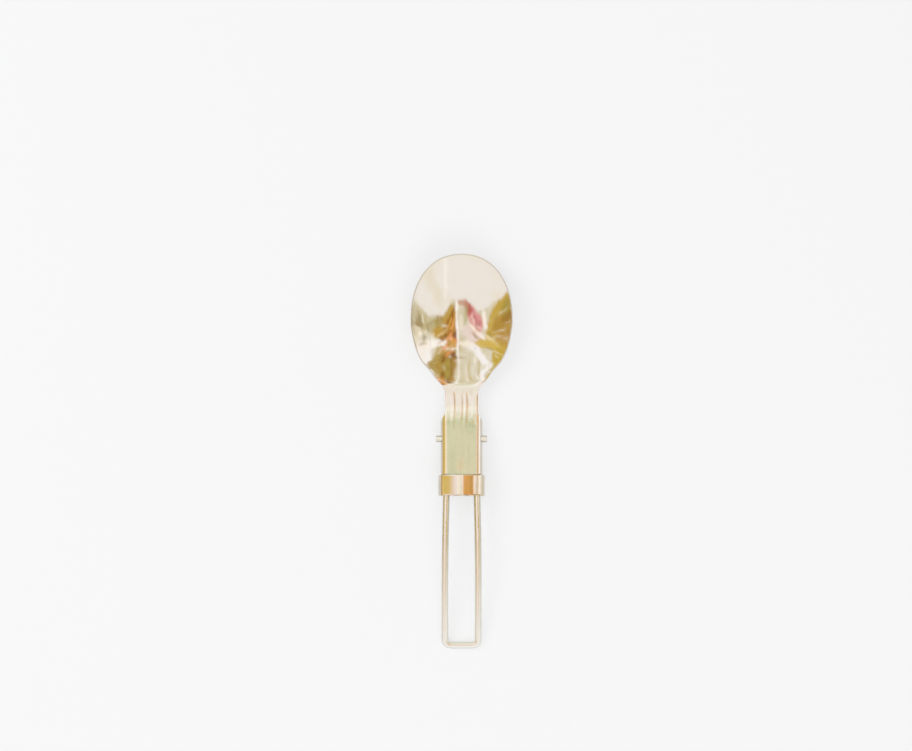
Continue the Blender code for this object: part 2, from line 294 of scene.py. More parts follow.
class Shading:
    """Writes the nodes of one material or of the world."""

    def __init__(self, tree: bpy.types.NodeTree) -> None:
        """Keeps the tree and empties it."""
        self.tree = tree
        tree.nodes.clear()

    def node(self, kind: str, settings: Mapping[str, object] | None = None,
             sockets: Mapping[str | int, object] | None = None) -> bpy.types.Node:
        """Adds a node.

        Args:
            kind: the node's type, such as ShaderNodeMath.
            settings: its properties, which are set first.
            sockets: value or link of each input, by name or index.

        Returns:
            The node.
        """
        made = self.tree.nodes.new(kind)
        for key, value in (settings or {}).items():
            setattr(made, key, value)
        for key, value in (sockets or {}).items():
            self.feed(made.inputs[key], value)
        return made

    def feed(self, socket: bpy.types.NodeSocket, value: object) -> None:
        """Links something to a socket, or sets the socket's value.

        Args:
            socket: the input.
            value: signal, node, colour or number.
        """
        if isinstance(value, Signal):
            self.tree.links.new(value.socket, socket)
        elif isinstance(value, bpy.types.Node):
            self.tree.links.new(value.outputs[0], socket)
        elif socket.type == "RGBA" and len(value) == 3:
            socket.default_value = (*value, 1.0)
        else:
            socket.default_value = value

    def signal(self, made: bpy.types.Node, output: str | int = 0) -> "Signal":
        """Wraps one output of a node."""
        return Signal(self, made.outputs[output])

    def coordinates(self, output: str) -> "Signal":
        """Place on the piece, or for the world the direction that is looked in."""
        return self.signal(self.node("ShaderNodeTexCoord"), output)

    def parts(self, vector: "Signal") -> tuple["Signal", "Signal", "Signal"]:
        """X, Y and Z of a vector."""
        split = self.node("ShaderNodeSeparateXYZ", None, {0: vector})
        return self.signal(split, 0), self.signal(split, 1), self.signal(split, 2)

    def stretched(self, vector: "Signal", scale: tuple[float, float, float], turn: float) -> "Signal":
        """A vector whose axes are scaled each by its own factor, and that is then turned about Z."""
        mapping = self.node("ShaderNodeMapping", {"vector_type": "POINT"},
                            {"Vector": vector, "Rotation": (0.0, 0.0, turn), "Scale": scale})
        return self.signal(mapping)

    def noise(self, vector: "Signal", scale: float, detail: float, roughness: float) -> "Signal":
        """Soft noise between 0 and 1."""
        made = self.node("ShaderNodeTexNoise", {"noise_dimensions": "3D"},
                         {"Vector": vector, "Scale": scale, "Detail": detail, "Roughness": roughness})
        return self.signal(made)

    def mix(self, share: object, first: object, second: object) -> "Signal":
        """Colour between two colours; the node's colour sockets are inputs 6 and 7 and output 2."""
        made = self.node("ShaderNodeMix", {"data_type": "RGBA"}, {0: share, 6: first, 7: second})
        return self.signal(made, 2)

    def bump(self, height: "Signal", distance: float, below: object = None) -> "Signal":
        """Normal of a relief.

        Args:
            height: the relief.
            distance: what a height of 1 stands for.
            below: normal that the relief lies on.

        Returns:
            The normal.
        """
        sockets = {"Height": height, "Distance": distance}
        if below is not None:
            sockets["Normal"] = below
        return self.signal(self.node("ShaderNodeBump", None, sockets))


class Signal:
    """An output socket that adds Math nodes when it is used in arithmetic."""

    def __init__(self, shading: Shading, socket: bpy.types.NodeSocket) -> None:
        """Keeps the writer and the socket."""
        self.shading = shading
        self.socket = socket

    def maths(self, operation: str, *values: object) -> "Signal":
        """Math node of this type on the values."""
        made = self.shading.node("ShaderNodeMath", {"operation": operation}, dict(enumerate(values)))
        return Signal(self.shading, made.outputs[0])

    def __add__(self, other: object) -> "Signal":
        """Sum."""
        return self.maths("ADD", self, other)

    def __sub__(self, other: object) -> "Signal":
        """Difference."""
        return self.maths("SUBTRACT", self, other)

    def __rsub__(self, other: object) -> "Signal":
        """Difference from a plain value."""
        return self.maths("SUBTRACT", other, self)

    def __mul__(self, other: object) -> "Signal":
        """Product."""
        return self.maths("MULTIPLY", self, other)

    def times_plus(self, factor: object, added: object) -> "Signal":
        """The signal times the factor, plus what is added, in one node."""
        return self.maths("MULTIPLY_ADD", self, factor, added)

    def squared(self) -> "Signal":
        """The signal times itself."""
        return self * self

    def greater(self, other: object) -> "Signal":
        """The larger of two."""
        return self.maths("MAXIMUM", self, other)

    def root(self) -> "Signal":
        """Square root."""
        return self.maths("SQRT", self)

    def ramp(self, low: float, high: float, top: float = 1.0) -> "Signal":
        """Smooth step from 0 at low to top at high; low may be the larger."""
        made = self.shading.node("ShaderNodeMapRange", {"interpolation_type": "SMOOTHSTEP"},
                                 {"Value": self, "From Min": low, "From Max": high, "To Max": top})
        return Signal(self.shading, made.outputs[0])


@dataclass(frozen=True)
class Pattern:
    """Soft noise on a surface or in the sky; with a stretch, its place is scaled and turned about Z."""

    scale: float
    detail: float
    limits: tuple[float, float] | None = None
    stretch: tuple[float, float, float] | None = None
    turn: float = 0.0
    roughness: float = 0.5

    def on(self, shading: Shading, place: Signal) -> Signal:
        """Writes the pattern.

        Args:
            shading: writer of the material or the world.
            place: place on the piece, or direction.

        Returns:
            The noise, or with limits its smooth step from 0 at the first to 1 at the second.
        """
        if self.stretch is not None:
            place = shading.stretched(place, self.stretch, self.turn)
        noise = shading.noise(place, self.scale, self.detail, self.roughness)
        return noise if self.limits is None else noise.ramp(*self.limits)


class Grain(Enum):
    """Which way the fine lines of a finish run, as the stretch of its line noise along X, Y and Z."""

    LENGTHWISE = (1.0, 0.02, 1.0)
    ROUND_THE_BAND = (0.03, 1.0, 0.03)
    DOWN_THE_WIRE = (1.0, 0.012, 1.0)


@dataclass(frozen=True)
class SteelTone:
    """Colours of one piece of steel: its main tone and what it drifts to in soft patches."""

    main: Colour
    golden: Colour
    pale: Colour
    golden_patches: Pattern = Pattern(55.0, 3.0, (0.42, 0.72), roughness=0.55)
    golden_share: float = 0.7
    pale_patches: Pattern = Pattern(93.5, 2.0, (0.5, 0.8), (1.0, 0.6, 1.0), 0.8)
    pale_share: float = 0.6

    def colour(self, shading: Shading, place: Signal) -> Signal:
        """Main tone with soft golden and pale patches.

        Args:
            shading: writer of the material.
            place: place on the piece.

        Returns:
            The colour over the surface.
        """
        golden = self.golden_patches.on(shading, place) * self.golden_share
        warm = shading.mix(golden, self.main, self.golden)
        return shading.mix(self.pale_patches.on(shading, place) * self.pale_share, warm, self.pale)


@dataclass(frozen=True)
class SteelFinish:
    """Bare polished steel: mirror gloss with fine lines, hairline scratches, slow waves and a fine peel."""

    name: str
    tone: SteelTone
    grain: Grain
    gloss: float
    line_scale: float = 5200.0
    line_detail: float = 2.0
    line_roughness: float = 0.05
    line_height: float = 0.0003 * MM
    clouds: Pattern = Pattern(137.5, 4.0, (0.45, 0.75), roughness=0.6)
    cloud_roughness: float = 0.04
    scratches: Pattern = Pattern(1.0, 1.0, (0.69, 0.75), (900.0, 45.0, 300.0), 0.5)
    cross_scratches: Pattern = Pattern(1.0, 1.0, (0.70, 0.76), (210.0, 1500.0, 300.0), 0.5)
    scratch_roughness: float = 0.10
    waves: Pattern = Pattern(190.0, 1.0)
    wave_height: float = 0.012 * MM
    peel: Pattern = Pattern(620.0, 1.0)
    peel_height: float = 0.0028 * MM
    coordinates: str = "Object"

    def roughness(self, shading: Shading, place: Signal, lines: Signal) -> Signal:
        """Gloss with lines, cloudy handling marks and a few hairline scratches.

        Args:
            shading: writer of the material.
            place: place on the piece.
            lines: the grain's lines.

        Returns:
            The roughness over the surface.
        """
        clouds = self.clouds.on(shading, place) * self.cloud_roughness
        scratches = self.scratches.on(shading, place).greater(self.cross_scratches.on(shading, place))
        return lines * self.line_roughness + clouds + scratches * self.scratch_roughness + self.gloss

    def material(self) -> bpy.types.Material:
        """Writes the finish's nodes.

        Returns:
            The material.
        """
        made = bpy.data.materials.new(self.name)
        made.use_nodes = True
        shading = Shading(made.node_tree)
        place = shading.coordinates(self.coordinates)
        lines = Pattern(self.line_scale, self.line_detail, stretch=self.grain.value).on(shading, place)
        colour = self.dress_colour(shading, place, self.tone.colour(shading, place))
        roughness = self.dress_roughness(shading, place, self.roughness(shading, place, lines))
        peel = self.peel.on(shading, place) * (self.peel_height / self.wave_height)
        relief = self.dress_relief(shading, place, self.waves.on(shading, place) + peel)
        normal = shading.bump(lines, self.line_height, shading.bump(relief, self.wave_height))
        shader = shading.node("ShaderNodeBsdfPrincipled", None, {
            "Base Color": colour, "Metallic": 1.0, "Roughness": roughness, "Normal": normal})
        shading.node("ShaderNodeOutputMaterial", None, {"Surface": shader})
        return made

    def dress_colour(self, shading: Shading, place: Signal, colour: Signal) -> Signal:
        """What a piece adds to the plain colour; nothing here."""
        return colour

    def dress_roughness(self, shading: Shading, place: Signal, roughness: Signal) -> Signal:
        """What a piece adds to the plain roughness; nothing here."""
        return roughness

    def dress_relief(self, shading: Shading, place: Signal, relief: Signal) -> Signal:
        """What a piece makes of the plain waves; nothing here."""
        return relief


@dataclass(frozen=True)
class HeadFinish(SteelFinish):
    """Mirror-polished bowl whose tang was left satin."""

    satin_start: float = 17.5 * MM
    satin_full: float = 12 * MM
    satin_ragged: float = 9 * MM
    ragged: Pattern = Pattern(620.0, 2.0, stretch=(1.0, 0.12, 1.0))
    satin_half_width: float = 6.0 * MM
    satin_blur: float = 0.5 * MM
    satin: float = 0.20
    satin_hides: float = 0.7
    satin_levels: float = 0.8
    streaks: Pattern = Pattern(420.0, 2.0, (0.3, 0.7), (1.0, 0.05, 1.0))
    streak_roughness: float = 0.06
    tang_tone: Colour = (0.74, 0.77, 0.56)
    tang_patch: Colour = (0.64, 0.73, 0.51)
    patches: Pattern = Pattern(190.0, 2.0, (0.40, 0.66), (1.0, 0.6, 1.0), roughness=0.4)
    patch_share: float = 0.8
    tang_share: float = 0.85
    bend_satin: float = 0.14
    # Painted reflection: a tan-gold tint on the tang's left bend
    left_bend_painted_reflection: Colour = (0.88, 0.74, 0.50)
    painted_reflection_full: float = 0.2 * MM
    painted_reflection_fades: float = 0.8 * MM
    painted_reflection_end: float = 1.3 * MM
    painted_light_share: float = 0.9
    neck_end: float = 29 * MM
    neck_fade: float = 2 * MM
    # Painted highlight: a near-white colour over the neck
    neck_painted_highlight: Colour = (0.97, 0.99, 0.94)
    neck_highlight_share: float = 0.9
    neck_satin: float = 0.24
    stain: Colour = (0.92, 0.70, 0.38)
    stain_place: tuple[float, float] = (-0.4 * MM, -5.2 * MM)
    stain_radius: float = 3.6 * MM
    stain_squeeze: float = 2.0
    stain_even: float = 0.2
    stain_patchy: float = 0.5

    def satin_share(self, shading: Shading, place: Signal) -> Signal:
        """Where the steel is satin.

        Args:
            shading: writer of the material.
            place: place on the piece.

        Returns:
            1 on the flat of the tang and 0 on its bends and the bowl, ragged towards the neck.
        """
        x, y, _ = shading.parts(place)
        flat = x.squared().ramp((self.satin_half_width + self.satin_blur) ** 2,
                                (self.satin_half_width - self.satin_blur) ** 2)
        ragged = (self.ragged.on(shading, place) - NOISE_MIDDLE) * self.satin_ragged
        return (y + ragged).ramp(self.satin_start, self.satin_full) * flat

    def neck_share(self, shading: Shading, place: Signal) -> Signal:
        """Where the neck is.

        Args:
            shading: writer of the material.
            place: place on the piece.

        Returns:
            1 on the neck and 0 on the tang and the bowl.
        """
        y = shading.parts(place)[1]
        ahead = y.ramp(self.neck_end, self.neck_end - self.neck_fade)
        return y.ramp(self.satin_full, self.satin_start) * ahead

    def dress_colour(self, shading: Shading, place: Signal, colour: Signal) -> Signal:
        """The satin tang is greener than the bowl, in soft patches; a painted reflection tints its left bend
        tan-gold, and a painted highlight pales the neck.

        Args:
            shading: writer of the material.
            place: place on the piece.
            colour: colour of plain steel.

        Returns:
            The head's colour.
        """
        x, y, _ = shading.parts(place)
        patches = self.patches.on(shading, place)
        tone = shading.mix(patches * self.patch_share, self.tang_tone, self.tang_patch)
        from_stain = ((x - self.stain_place[0]).squared() * self.stain_squeeze
                      + (y - self.stain_place[1]).squared())
        stained = patches * self.stain_patchy + self.stain_even
        tone = shading.mix(from_stain.ramp(self.stain_radius ** 2, 0.0) * stained, tone, self.stain)
        # Painted reflection: tan-gold tint over the tang's left bend
        painted_reflection = x.ramp(-self.satin_half_width, -self.satin_half_width - self.painted_reflection_full) * x.ramp(
            -self.satin_half_width - self.painted_reflection_end, -self.satin_half_width - self.painted_reflection_fades)
        painted_reflection = painted_reflection * y.ramp(self.satin_start, self.satin_full)
        colour = shading.mix(painted_reflection * self.painted_light_share, colour, self.left_bend_painted_reflection)
        # Painted highlight: pales the neck
        colour = shading.mix(self.neck_share(shading, place) * self.neck_highlight_share, colour, self.neck_painted_highlight)
        return shading.mix(self.satin_share(shading, place) * self.tang_share, colour, tone)

    def dress_roughness(self, shading: Shading, place: Signal, roughness: Signal) -> Signal:
        """The tang is rougher than the bowl, in faint streaks down its length.

        Args:
            shading: writer of the material.
            place: place on the piece.
            roughness: roughness of plain steel.

        Returns:
            The head's roughness.
        """
        satin = self.satin_share(shading, place)
        streaks = self.streaks.on(shading, place) * self.streak_roughness
        bends = shading.parts(place)[1].ramp(self.satin_start, self.satin_full) * self.bend_satin
        neck = self.neck_share(shading, place) * self.neck_satin
        tang = roughness * (1 - satin * self.satin_hides) + satin * (streaks + self.satin)
        return tang.greater(bends).greater(neck)

    def dress_relief(self, shading: Shading, place: Signal, relief: Signal) -> Signal:
        """Brushing has levelled the tang's waves."""
        return relief * (1 - self.satin_share(shading, place) * self.satin_levels)


@dataclass(frozen=True)
class WireFinish(SteelFinish):
    """Drawn wire with a rub mark along the top and the underside of each leg, where the collar slides.

    Its place is the UV map's: X is the distance round the wire from the middle of its top or underside,
    and Y the distance along it from the nearer pin's end.
    """

    rub_start: float = 16 * MM
    rub_end: float = 84 * MM
    rub_fade: float = 2 * MM
    rub_limits: tuple[float, float] = (6 * MM ** 2, MM ** 2)
    rub_roughness: float = 0.14
    dashes: Pattern = Pattern(1.0, 2.0, (0.52, 0.62), (2200.0, 160.0, 1.0))
    # Painted shade on the flanks, pale again down the handle, and a painted highlight along the crest
    painted_flank_shade: Colour = (0.74, 0.71, 0.60)
    pale: Colour = (0.99, 1.0, 0.95)
    crest: Colour = (0.98, 1.0, 0.97)
    painted_highlight_edge: tuple[float, float] = (0.9 * MM, 0.35 * MM)
    painted_light_share: float = 0.95
    satin_start: float = 26 * MM
    satin_full: float = 78 * MM
    satin: float = 0.16

    def dress_colour(self, shading: Shading, place: Signal, colour: Signal) -> Signal:
        """Painted highlight: the crest along the top and the underside is bright and pale. Painted shade: the
        flanks are tan, fading to pale down the handle.

        Args:
            shading: writer of the material.
            place: place on the piece.
            colour: colour of plain steel.

        Returns:
            The wire's colour.
        """
        around, along, _ = shading.parts(place)
        # Painted highlight along the crest and painted shade on the flanks, laid over the steel's colour
        on_painted_highlight = around.squared().ramp(*(edge ** 2 for edge in self.painted_highlight_edge))
        painted_flank_shade = shading.mix(along.ramp(self.satin_start, self.satin_full), self.painted_flank_shade, self.pale)
        painted_flank_shade = shading.mix(self.painted_light_share, colour, painted_flank_shade)
        return shading.mix(on_painted_highlight, painted_flank_shade, shading.mix(self.painted_light_share, colour, self.crest))

    def dress_roughness(self, shading: Shading, place: Signal, roughness: Signal) -> Signal:
        """Duller towards the handle's end, with scuffs in short dashes where the collar has slid.

        Args:
            shading: writer of the material.
            place: place on the piece.
            roughness: roughness of plain steel.

        Returns:
            The wire's roughness.
        """
        around, along, _ = shading.parts(place)
        reached = along.ramp(self.rub_start, self.rub_start + self.rub_fade) * along.ramp(
            self.rub_end, self.rub_end - self.rub_fade)
        rubbed = reached * self.dashes.on(shading, place) * around.squared().ramp(*self.rub_limits)
        satin = along.ramp(self.satin_start, self.satin_full) * self.satin
        return roughness + rubbed * self.rub_roughness + satin


# The spoon's pieces

@dataclass
class SpoonHead:
    """Bowl, neck and hinge tang: one stamped sheet whose tang is bent down at both sides."""

    sheet: float = 0.8 * MM
    plate_top: float = 2.5 * MM
    flat_half_width: float = 6.1 * MM
    ear_drop: float = 3.7 * MM
    ear_front: float = 2.0 * MM
    ear_rear: float = 8.4 * MM
    step_length: float = 1.4 * MM
    tail_length: float = 5.2 * MM
    tail_flange: float = 1.0 * MM
    shoulder_length: float = 9.1 * MM
    neck_half_width: float = 6.8 * MM
    neck_length: float = 7.3 * MM
    dish_delay: float = 2.6 * MM
    rim_curve_length: float = 8 * MM
    rim_slope: float = math.tan(math.radians(17))
    bowl_half_width: float = 20.55 * MM
    bowl_rear_length: float = 29.3 * MM
    bowl_front_length: float = 25.8 * MM
    bowl_depth: float = 9.0 * MM
    heel_power: float = 1.25
    outline_power: float = 2.2
    section_power: float = 2.2
    hole_radius: float = 1.6 * MM
    hole_chamfer: float = 0.12 * MM
    hole_overrun: float = 1.0 * MM
    rim_rounding: float = 0.26 * MM
    ripple_height: float = 0.032 * MM
    ripple_fade_in: float = 5.46 * MM
    ripple_fade_out: float = 2.92 * MM
    ripple_waver: float = 0.1
    waver_length: float = 2.9 * MM
    ripples: tuple[tuple[float, float, float], ...] = (
        (0.40, 1.7 * MM, 0.1), (0.70, 2.7 * MM, 0.35), (0.5, 5.2 * MM, 0.85), (1.2, 11.0 * MM, 0.3))
    dents: tuple[tuple[float, float, float], ...] = (
        (-4.6 * MM, 7.4 * MM, -0.1 * MM), (4.9 * MM, 6.2 * MM, -0.12 * MM), (-2.0 * MM, 9.6 * MM, 0.04 * MM))
    dent_size: float = 1.3 * MM
    rear_outline: tuple[tuple[float, float], ...] = (
        (0.0, 1.0), (0.32, 0.892), (0.532, 0.705), (0.684, 0.43), (0.786, 0.285), (0.86, 0.142),
        (0.93, 0.04), (1.0, 0.0))
    flat_steps: int = 18
    bend_steps: int = 20
    flange_steps: int = 14
    tail_steps: int = 8
    ear_steps: int = 18
    shoulder_steps: int = 34
    neck_steps: int = 24
    rear_steps: int = 66
    front_steps: int = 52
    hole_sides: int = 64
    crease: float = math.radians(38)

    @property
    def bend_length(self) -> float:
        """Length of sheet in one bend of the tang, a quarter circle about the wire."""
        return self.plate_top * math.pi / 2

    @property
    def neck_start(self) -> float:
        """Place along the spoon where the shoulders end."""
        return self.ear_front + self.shoulder_length

    @property
    def bowl_start(self) -> float:
        """Place along the spoon where the neck ends."""
        return self.neck_start + self.neck_length

    @property
    def bowl_middle(self) -> float:
        """Place along the spoon where the bowl is widest."""
        return self.bowl_start + self.bowl_rear_length

    def half_steps(self) -> int:
        """Number of steps from the centre line to the edge."""
        return self.flat_steps + self.bend_steps + self.flange_steps

    def blank_half_width(self, y: np.ndarray) -> np.ndarray:
        """Flat sheet: the ears' width eased to the neck ahead and to the tail behind.

        Args:
            y: places along the tang.

        Returns:
            The half width at each place.
        """
        ear = self.flat_half_width + self.bend_length + self.ear_drop
        tail = self.flat_half_width + self.bend_length + self.tail_flange
        ahead = eased_between(ear, self.neck_half_width, (y - self.ear_front) / self.shoulder_length)
        behind = eased_between(ear, tail, (-self.ear_rear - y) / self.step_length)
        return np.where(y > self.ear_front, ahead, behind)

    def bent_section(self, across: np.ndarray) -> tuple[np.ndarray, np.ndarray]:
        """Section of the tang: flat, then a quarter circle, then straight down.

        Args:
            across: distance from the centre line, measured along the sheet.

        Returns:
            x and z of the outer face.
        """
        past = np.clip(across - self.flat_half_width, 0, None)
        angle = np.clip(past / self.plate_top, 0, math.pi / 2)
        below = np.clip(past - self.bend_length, 0, None)
        return (np.minimum(across, self.flat_half_width) + self.plate_top * np.sin(angle),
                self.plate_top * np.cos(angle) - below)

    def rim_rise(self, y: np.ndarray) -> np.ndarray:
        """Rim above the tang: level, then a parabola, then a straight slope to the tip.

        Args:
            y: places along the spoon.

        Returns:
            The height at each place.
        """
        past = np.clip(y - self.neck_start, 0, None)
        curved = self.rim_slope * past ** 2 / (2 * self.rim_curve_length)
        return np.where(past < self.rim_curve_length, curved,
                        self.rim_slope * (past - self.rim_curve_length / 2))

    def dish_depth(self, y: np.ndarray) -> np.ndarray:
        """Depth on the centre line: (1 - (1 - s)^2) to the heel power, s running to the widest place."""
        share = (y - self.bowl_start - self.dish_delay) / (self.bowl_rear_length - self.dish_delay)
        return self.bowl_depth * (1 - (1 - np.clip(share, 0, 1)) ** 2) ** self.heel_power

    def tang_rows(self) -> np.ndarray:
        """Tang, shoulders and neck: an even spread across, drawn to the bends on the way to the ears.

        Returns:
            Grid of points from the centre line out.
        """
        ear_end = -self.ear_rear - self.step_length
        y = steps((ear_end - self.tail_length, ear_end, self.tail_steps),
                  (ear_end, -self.ear_rear, self.tail_steps),
                  (-self.ear_rear, self.ear_front, self.ear_steps),
                  (self.ear_front, self.neck_start, self.shoulder_steps),
                  (self.neck_start, self.bowl_start, self.neck_steps))[:-1, None]
        half_width = self.blank_half_width(y)
        plain = half_width * np.linspace(0, 1, self.half_steps() + 1)
        bend_end = self.flat_half_width + self.bend_length
        outer = np.maximum(half_width, bend_end + self.tail_flange)
        near = steps((0, self.flat_half_width, self.flat_steps),
                     (self.flat_half_width, bend_end, self.bend_steps))
        near = np.broadcast_to(near, (len(y), len(near)))
        far = bend_end + (outer - bend_end) * np.linspace(0, 1, self.flange_steps + 1)[1:]
        stepped = np.concatenate([near, far], axis=1) * half_width / outer
        bent = np.clip((self.neck_start - y) / (self.shoulder_length / 2), 0, 1)
        x, z = self.bent_section(plain + (stepped - plain) * bent)
        dish = self.dish_depth(y) * (1 - (plain / half_width) ** self.section_power)
        return np.stack([x, np.broadcast_to(y, x.shape), z + self.rim_rise(y) - dish], axis=-1)

    def bowl_rear_rows(self) -> np.ndarray:
        """Bowl behind its widest place: each section is 1 - s^2.2 deep at a share s of its half width.

        Returns:
            Grid of points from the centre line out.
        """
        y = np.linspace(self.bowl_start, self.bowl_middle, self.rear_steps, endpoint=False)[:, None]
        share = curve_through(self.rear_outline, (self.bowl_middle - y) / self.bowl_rear_length)
        half_width = self.neck_half_width + (self.bowl_half_width - self.neck_half_width) * share
        across = np.linspace(0, 1, self.half_steps() + 1)
        z = self.plate_top + self.rim_rise(y) - self.dish_depth(y) * (1 - across ** self.section_power)
        return np.stack([half_width * across, np.broadcast_to(y, z.shape), z], axis=-1)

    def bowl_front_rows(self) -> np.ndarray:
        """Bowl ahead of its widest place.

        A square grid is drawn onto a quarter disc, (a sqrt(1 - b^2 / 2), b sqrt(1 - a^2 / 2)), and the disc
        onto an oval of the outline's power; the dish is 1 - r^2.2 deep at a share r of the way to the rim.

        Returns:
            Grid of points from the centre line out.
        """
        across = np.linspace(0, 1, self.half_steps() + 1)[None, :]
        along = np.linspace(0, 1, self.front_steps + 1)[:, None]
        disc_x = across * np.sqrt(1 - along ** 2 / 2)
        disc_y = along * np.sqrt(1 - across ** 2 / 2)
        radius = np.hypot(disc_x, disc_y)
        oval = (disc_x ** self.outline_power + disc_y ** self.outline_power) ** (1 / self.outline_power)
        scale = radius / np.maximum(oval, TINY)
        y = self.bowl_middle + self.bowl_front_length * disc_y * scale
        dish = self.bowl_depth * (1 - radius ** self.section_power)
        return np.stack([self.bowl_half_width * disc_x * scale, y, self.plate_top + self.rim_rise(y) - dish],
                        axis=-1)

    def press_marks(self, points: np.ndarray) -> np.ndarray:
        """Height of the marks that the press left: lengthwise ripples over the neck, and round dents.

        The ripples are a sum of cosines across, of each share, width and phase in turn, that waver a little
        along the neck and fade in over the shoulders and out over the heel; a dent is a bell.

        Args:
            points: points of the upper face.

        Returns:
            What is added to each point's height.
        """
        x, y = points[..., 0], points[..., 1]
        fade = eased((y - self.ear_front) / self.ripple_fade_in) * eased(
            (self.bowl_start + self.dish_delay - y) / self.ripple_fade_out)
        inside = eased((self.flat_half_width - np.abs(x)) / self.plate_top)
        waver = self.ripple_waver * np.sin(y / self.waver_length)
        waves = sum(share * np.cos(2 * math.pi * (x / width + waver + phase))
                    for share, width, phase in self.ripples)
        height = self.ripple_height * fade * inside * waves
        for dent_x, dent_y, depth in self.dents:
            height = height + depth * np.exp(-((x - dent_x) ** 2 + (y - dent_y) ** 2) / self.dent_size ** 2)
        return height

    def upper_face(self) -> np.ndarray:
        """Both halves of the upper face.

        Returns:
            Grid of points from left to right, in the head's own frame.
        """
        half = np.concatenate([self.tang_rows(), self.bowl_rear_rows(), self.bowl_front_rows()])
        whole = np.concatenate([half[:, :0:-1] * (-1, 1, 1), half], axis=1)
        whole[..., 2] += self.press_marks(whole)
        return whole

    def hole_cutter(self, place: HingeFrame, side: int) -> bpy.types.Object:
        """Turned bar along the hinge axis through one ear, wider at both faces by the chamfer.

        Args:
            place: lays the head on the table.
            side: 1 for the right ear and -1 for the left one.

        Returns:
            The bar.
        """
        outer = self.flat_half_width + self.plate_top
        inner = outer - self.sheet
        wide, narrow = self.hole_radius + self.hole_chamfer, self.hole_radius
        profile = np.array([(inner - self.hole_overrun, wide), (inner, wide),
                            (inner + self.hole_chamfer, narrow), (outer - self.hole_chamfer, narrow),
                            (outer, wide), (outer + self.hole_overrun, wide)])
        angles = np.linspace(0, 2 * math.pi, self.hole_sides, endpoint=False)
        ring = np.stack([np.zeros_like(angles), np.cos(angles), np.sin(angles)], axis=-1)
        rows = profile[:, None, 1:] * ring + profile[:, None, :1] * np.array((1.0, 0.0, 0.0))
        points = np.concatenate([rows.reshape(-1, 3), [(profile[0, 0], 0, 0), (profile[-1, 0], 0, 0)]])
        quads = MeshWriter.grid_quads(len(profile), len(angles), closed=True)
        first, after = np.arange(len(angles)), np.roll(np.arange(len(angles)), -1)
        last = first + (len(profile) - 1) * len(angles)
        near_pole, far_pole = np.full_like(first, len(points) - 2), np.full_like(first, len(points) - 1)
        near_cap = np.stack([after, first, near_pole, near_pole], 1)
        far_cap = np.stack([last, after + last[0], far_pole, far_pole], 1)
        points[:, 0] *= side
        quads = np.concatenate([quads, near_cap, far_cap])
        if side < 0:
            # Mirroring has turned the faces inside out
            quads = np.where((quads[:, 3] == quads[:, 2])[:, None], quads[:, [1, 0, 2, 2]], quads[:, ::-1])
        name = f"ear_hole_cutter_{'right' if side > 0 else 'left'}"
        return MeshWriter.write(name, place.on_table(points), quads)

    def build(self, place: HingeFrame) -> bpy.types.Object:
        """Makes the whole stamping, with rounded cut edges and the pin holes.

        Args:
            place: lays the piece on the table.

        Returns:
            The head.
        """
        face = self.upper_face()
        quads = MeshWriter.grid_quads(*face.shape[:2])
        head = MeshWriter.write("spoon_head_stamping", place.on_table(face.reshape(-1, 3)), quads)
        add_thickness(head, self.sheet, -1)
        add_rounding(head, self.rim_rounding)
        for side in (-1, 1):
            cut_out(head, self.hole_cutter(place, side))
        MeshWriter.settle(head, self.crease)
        return head


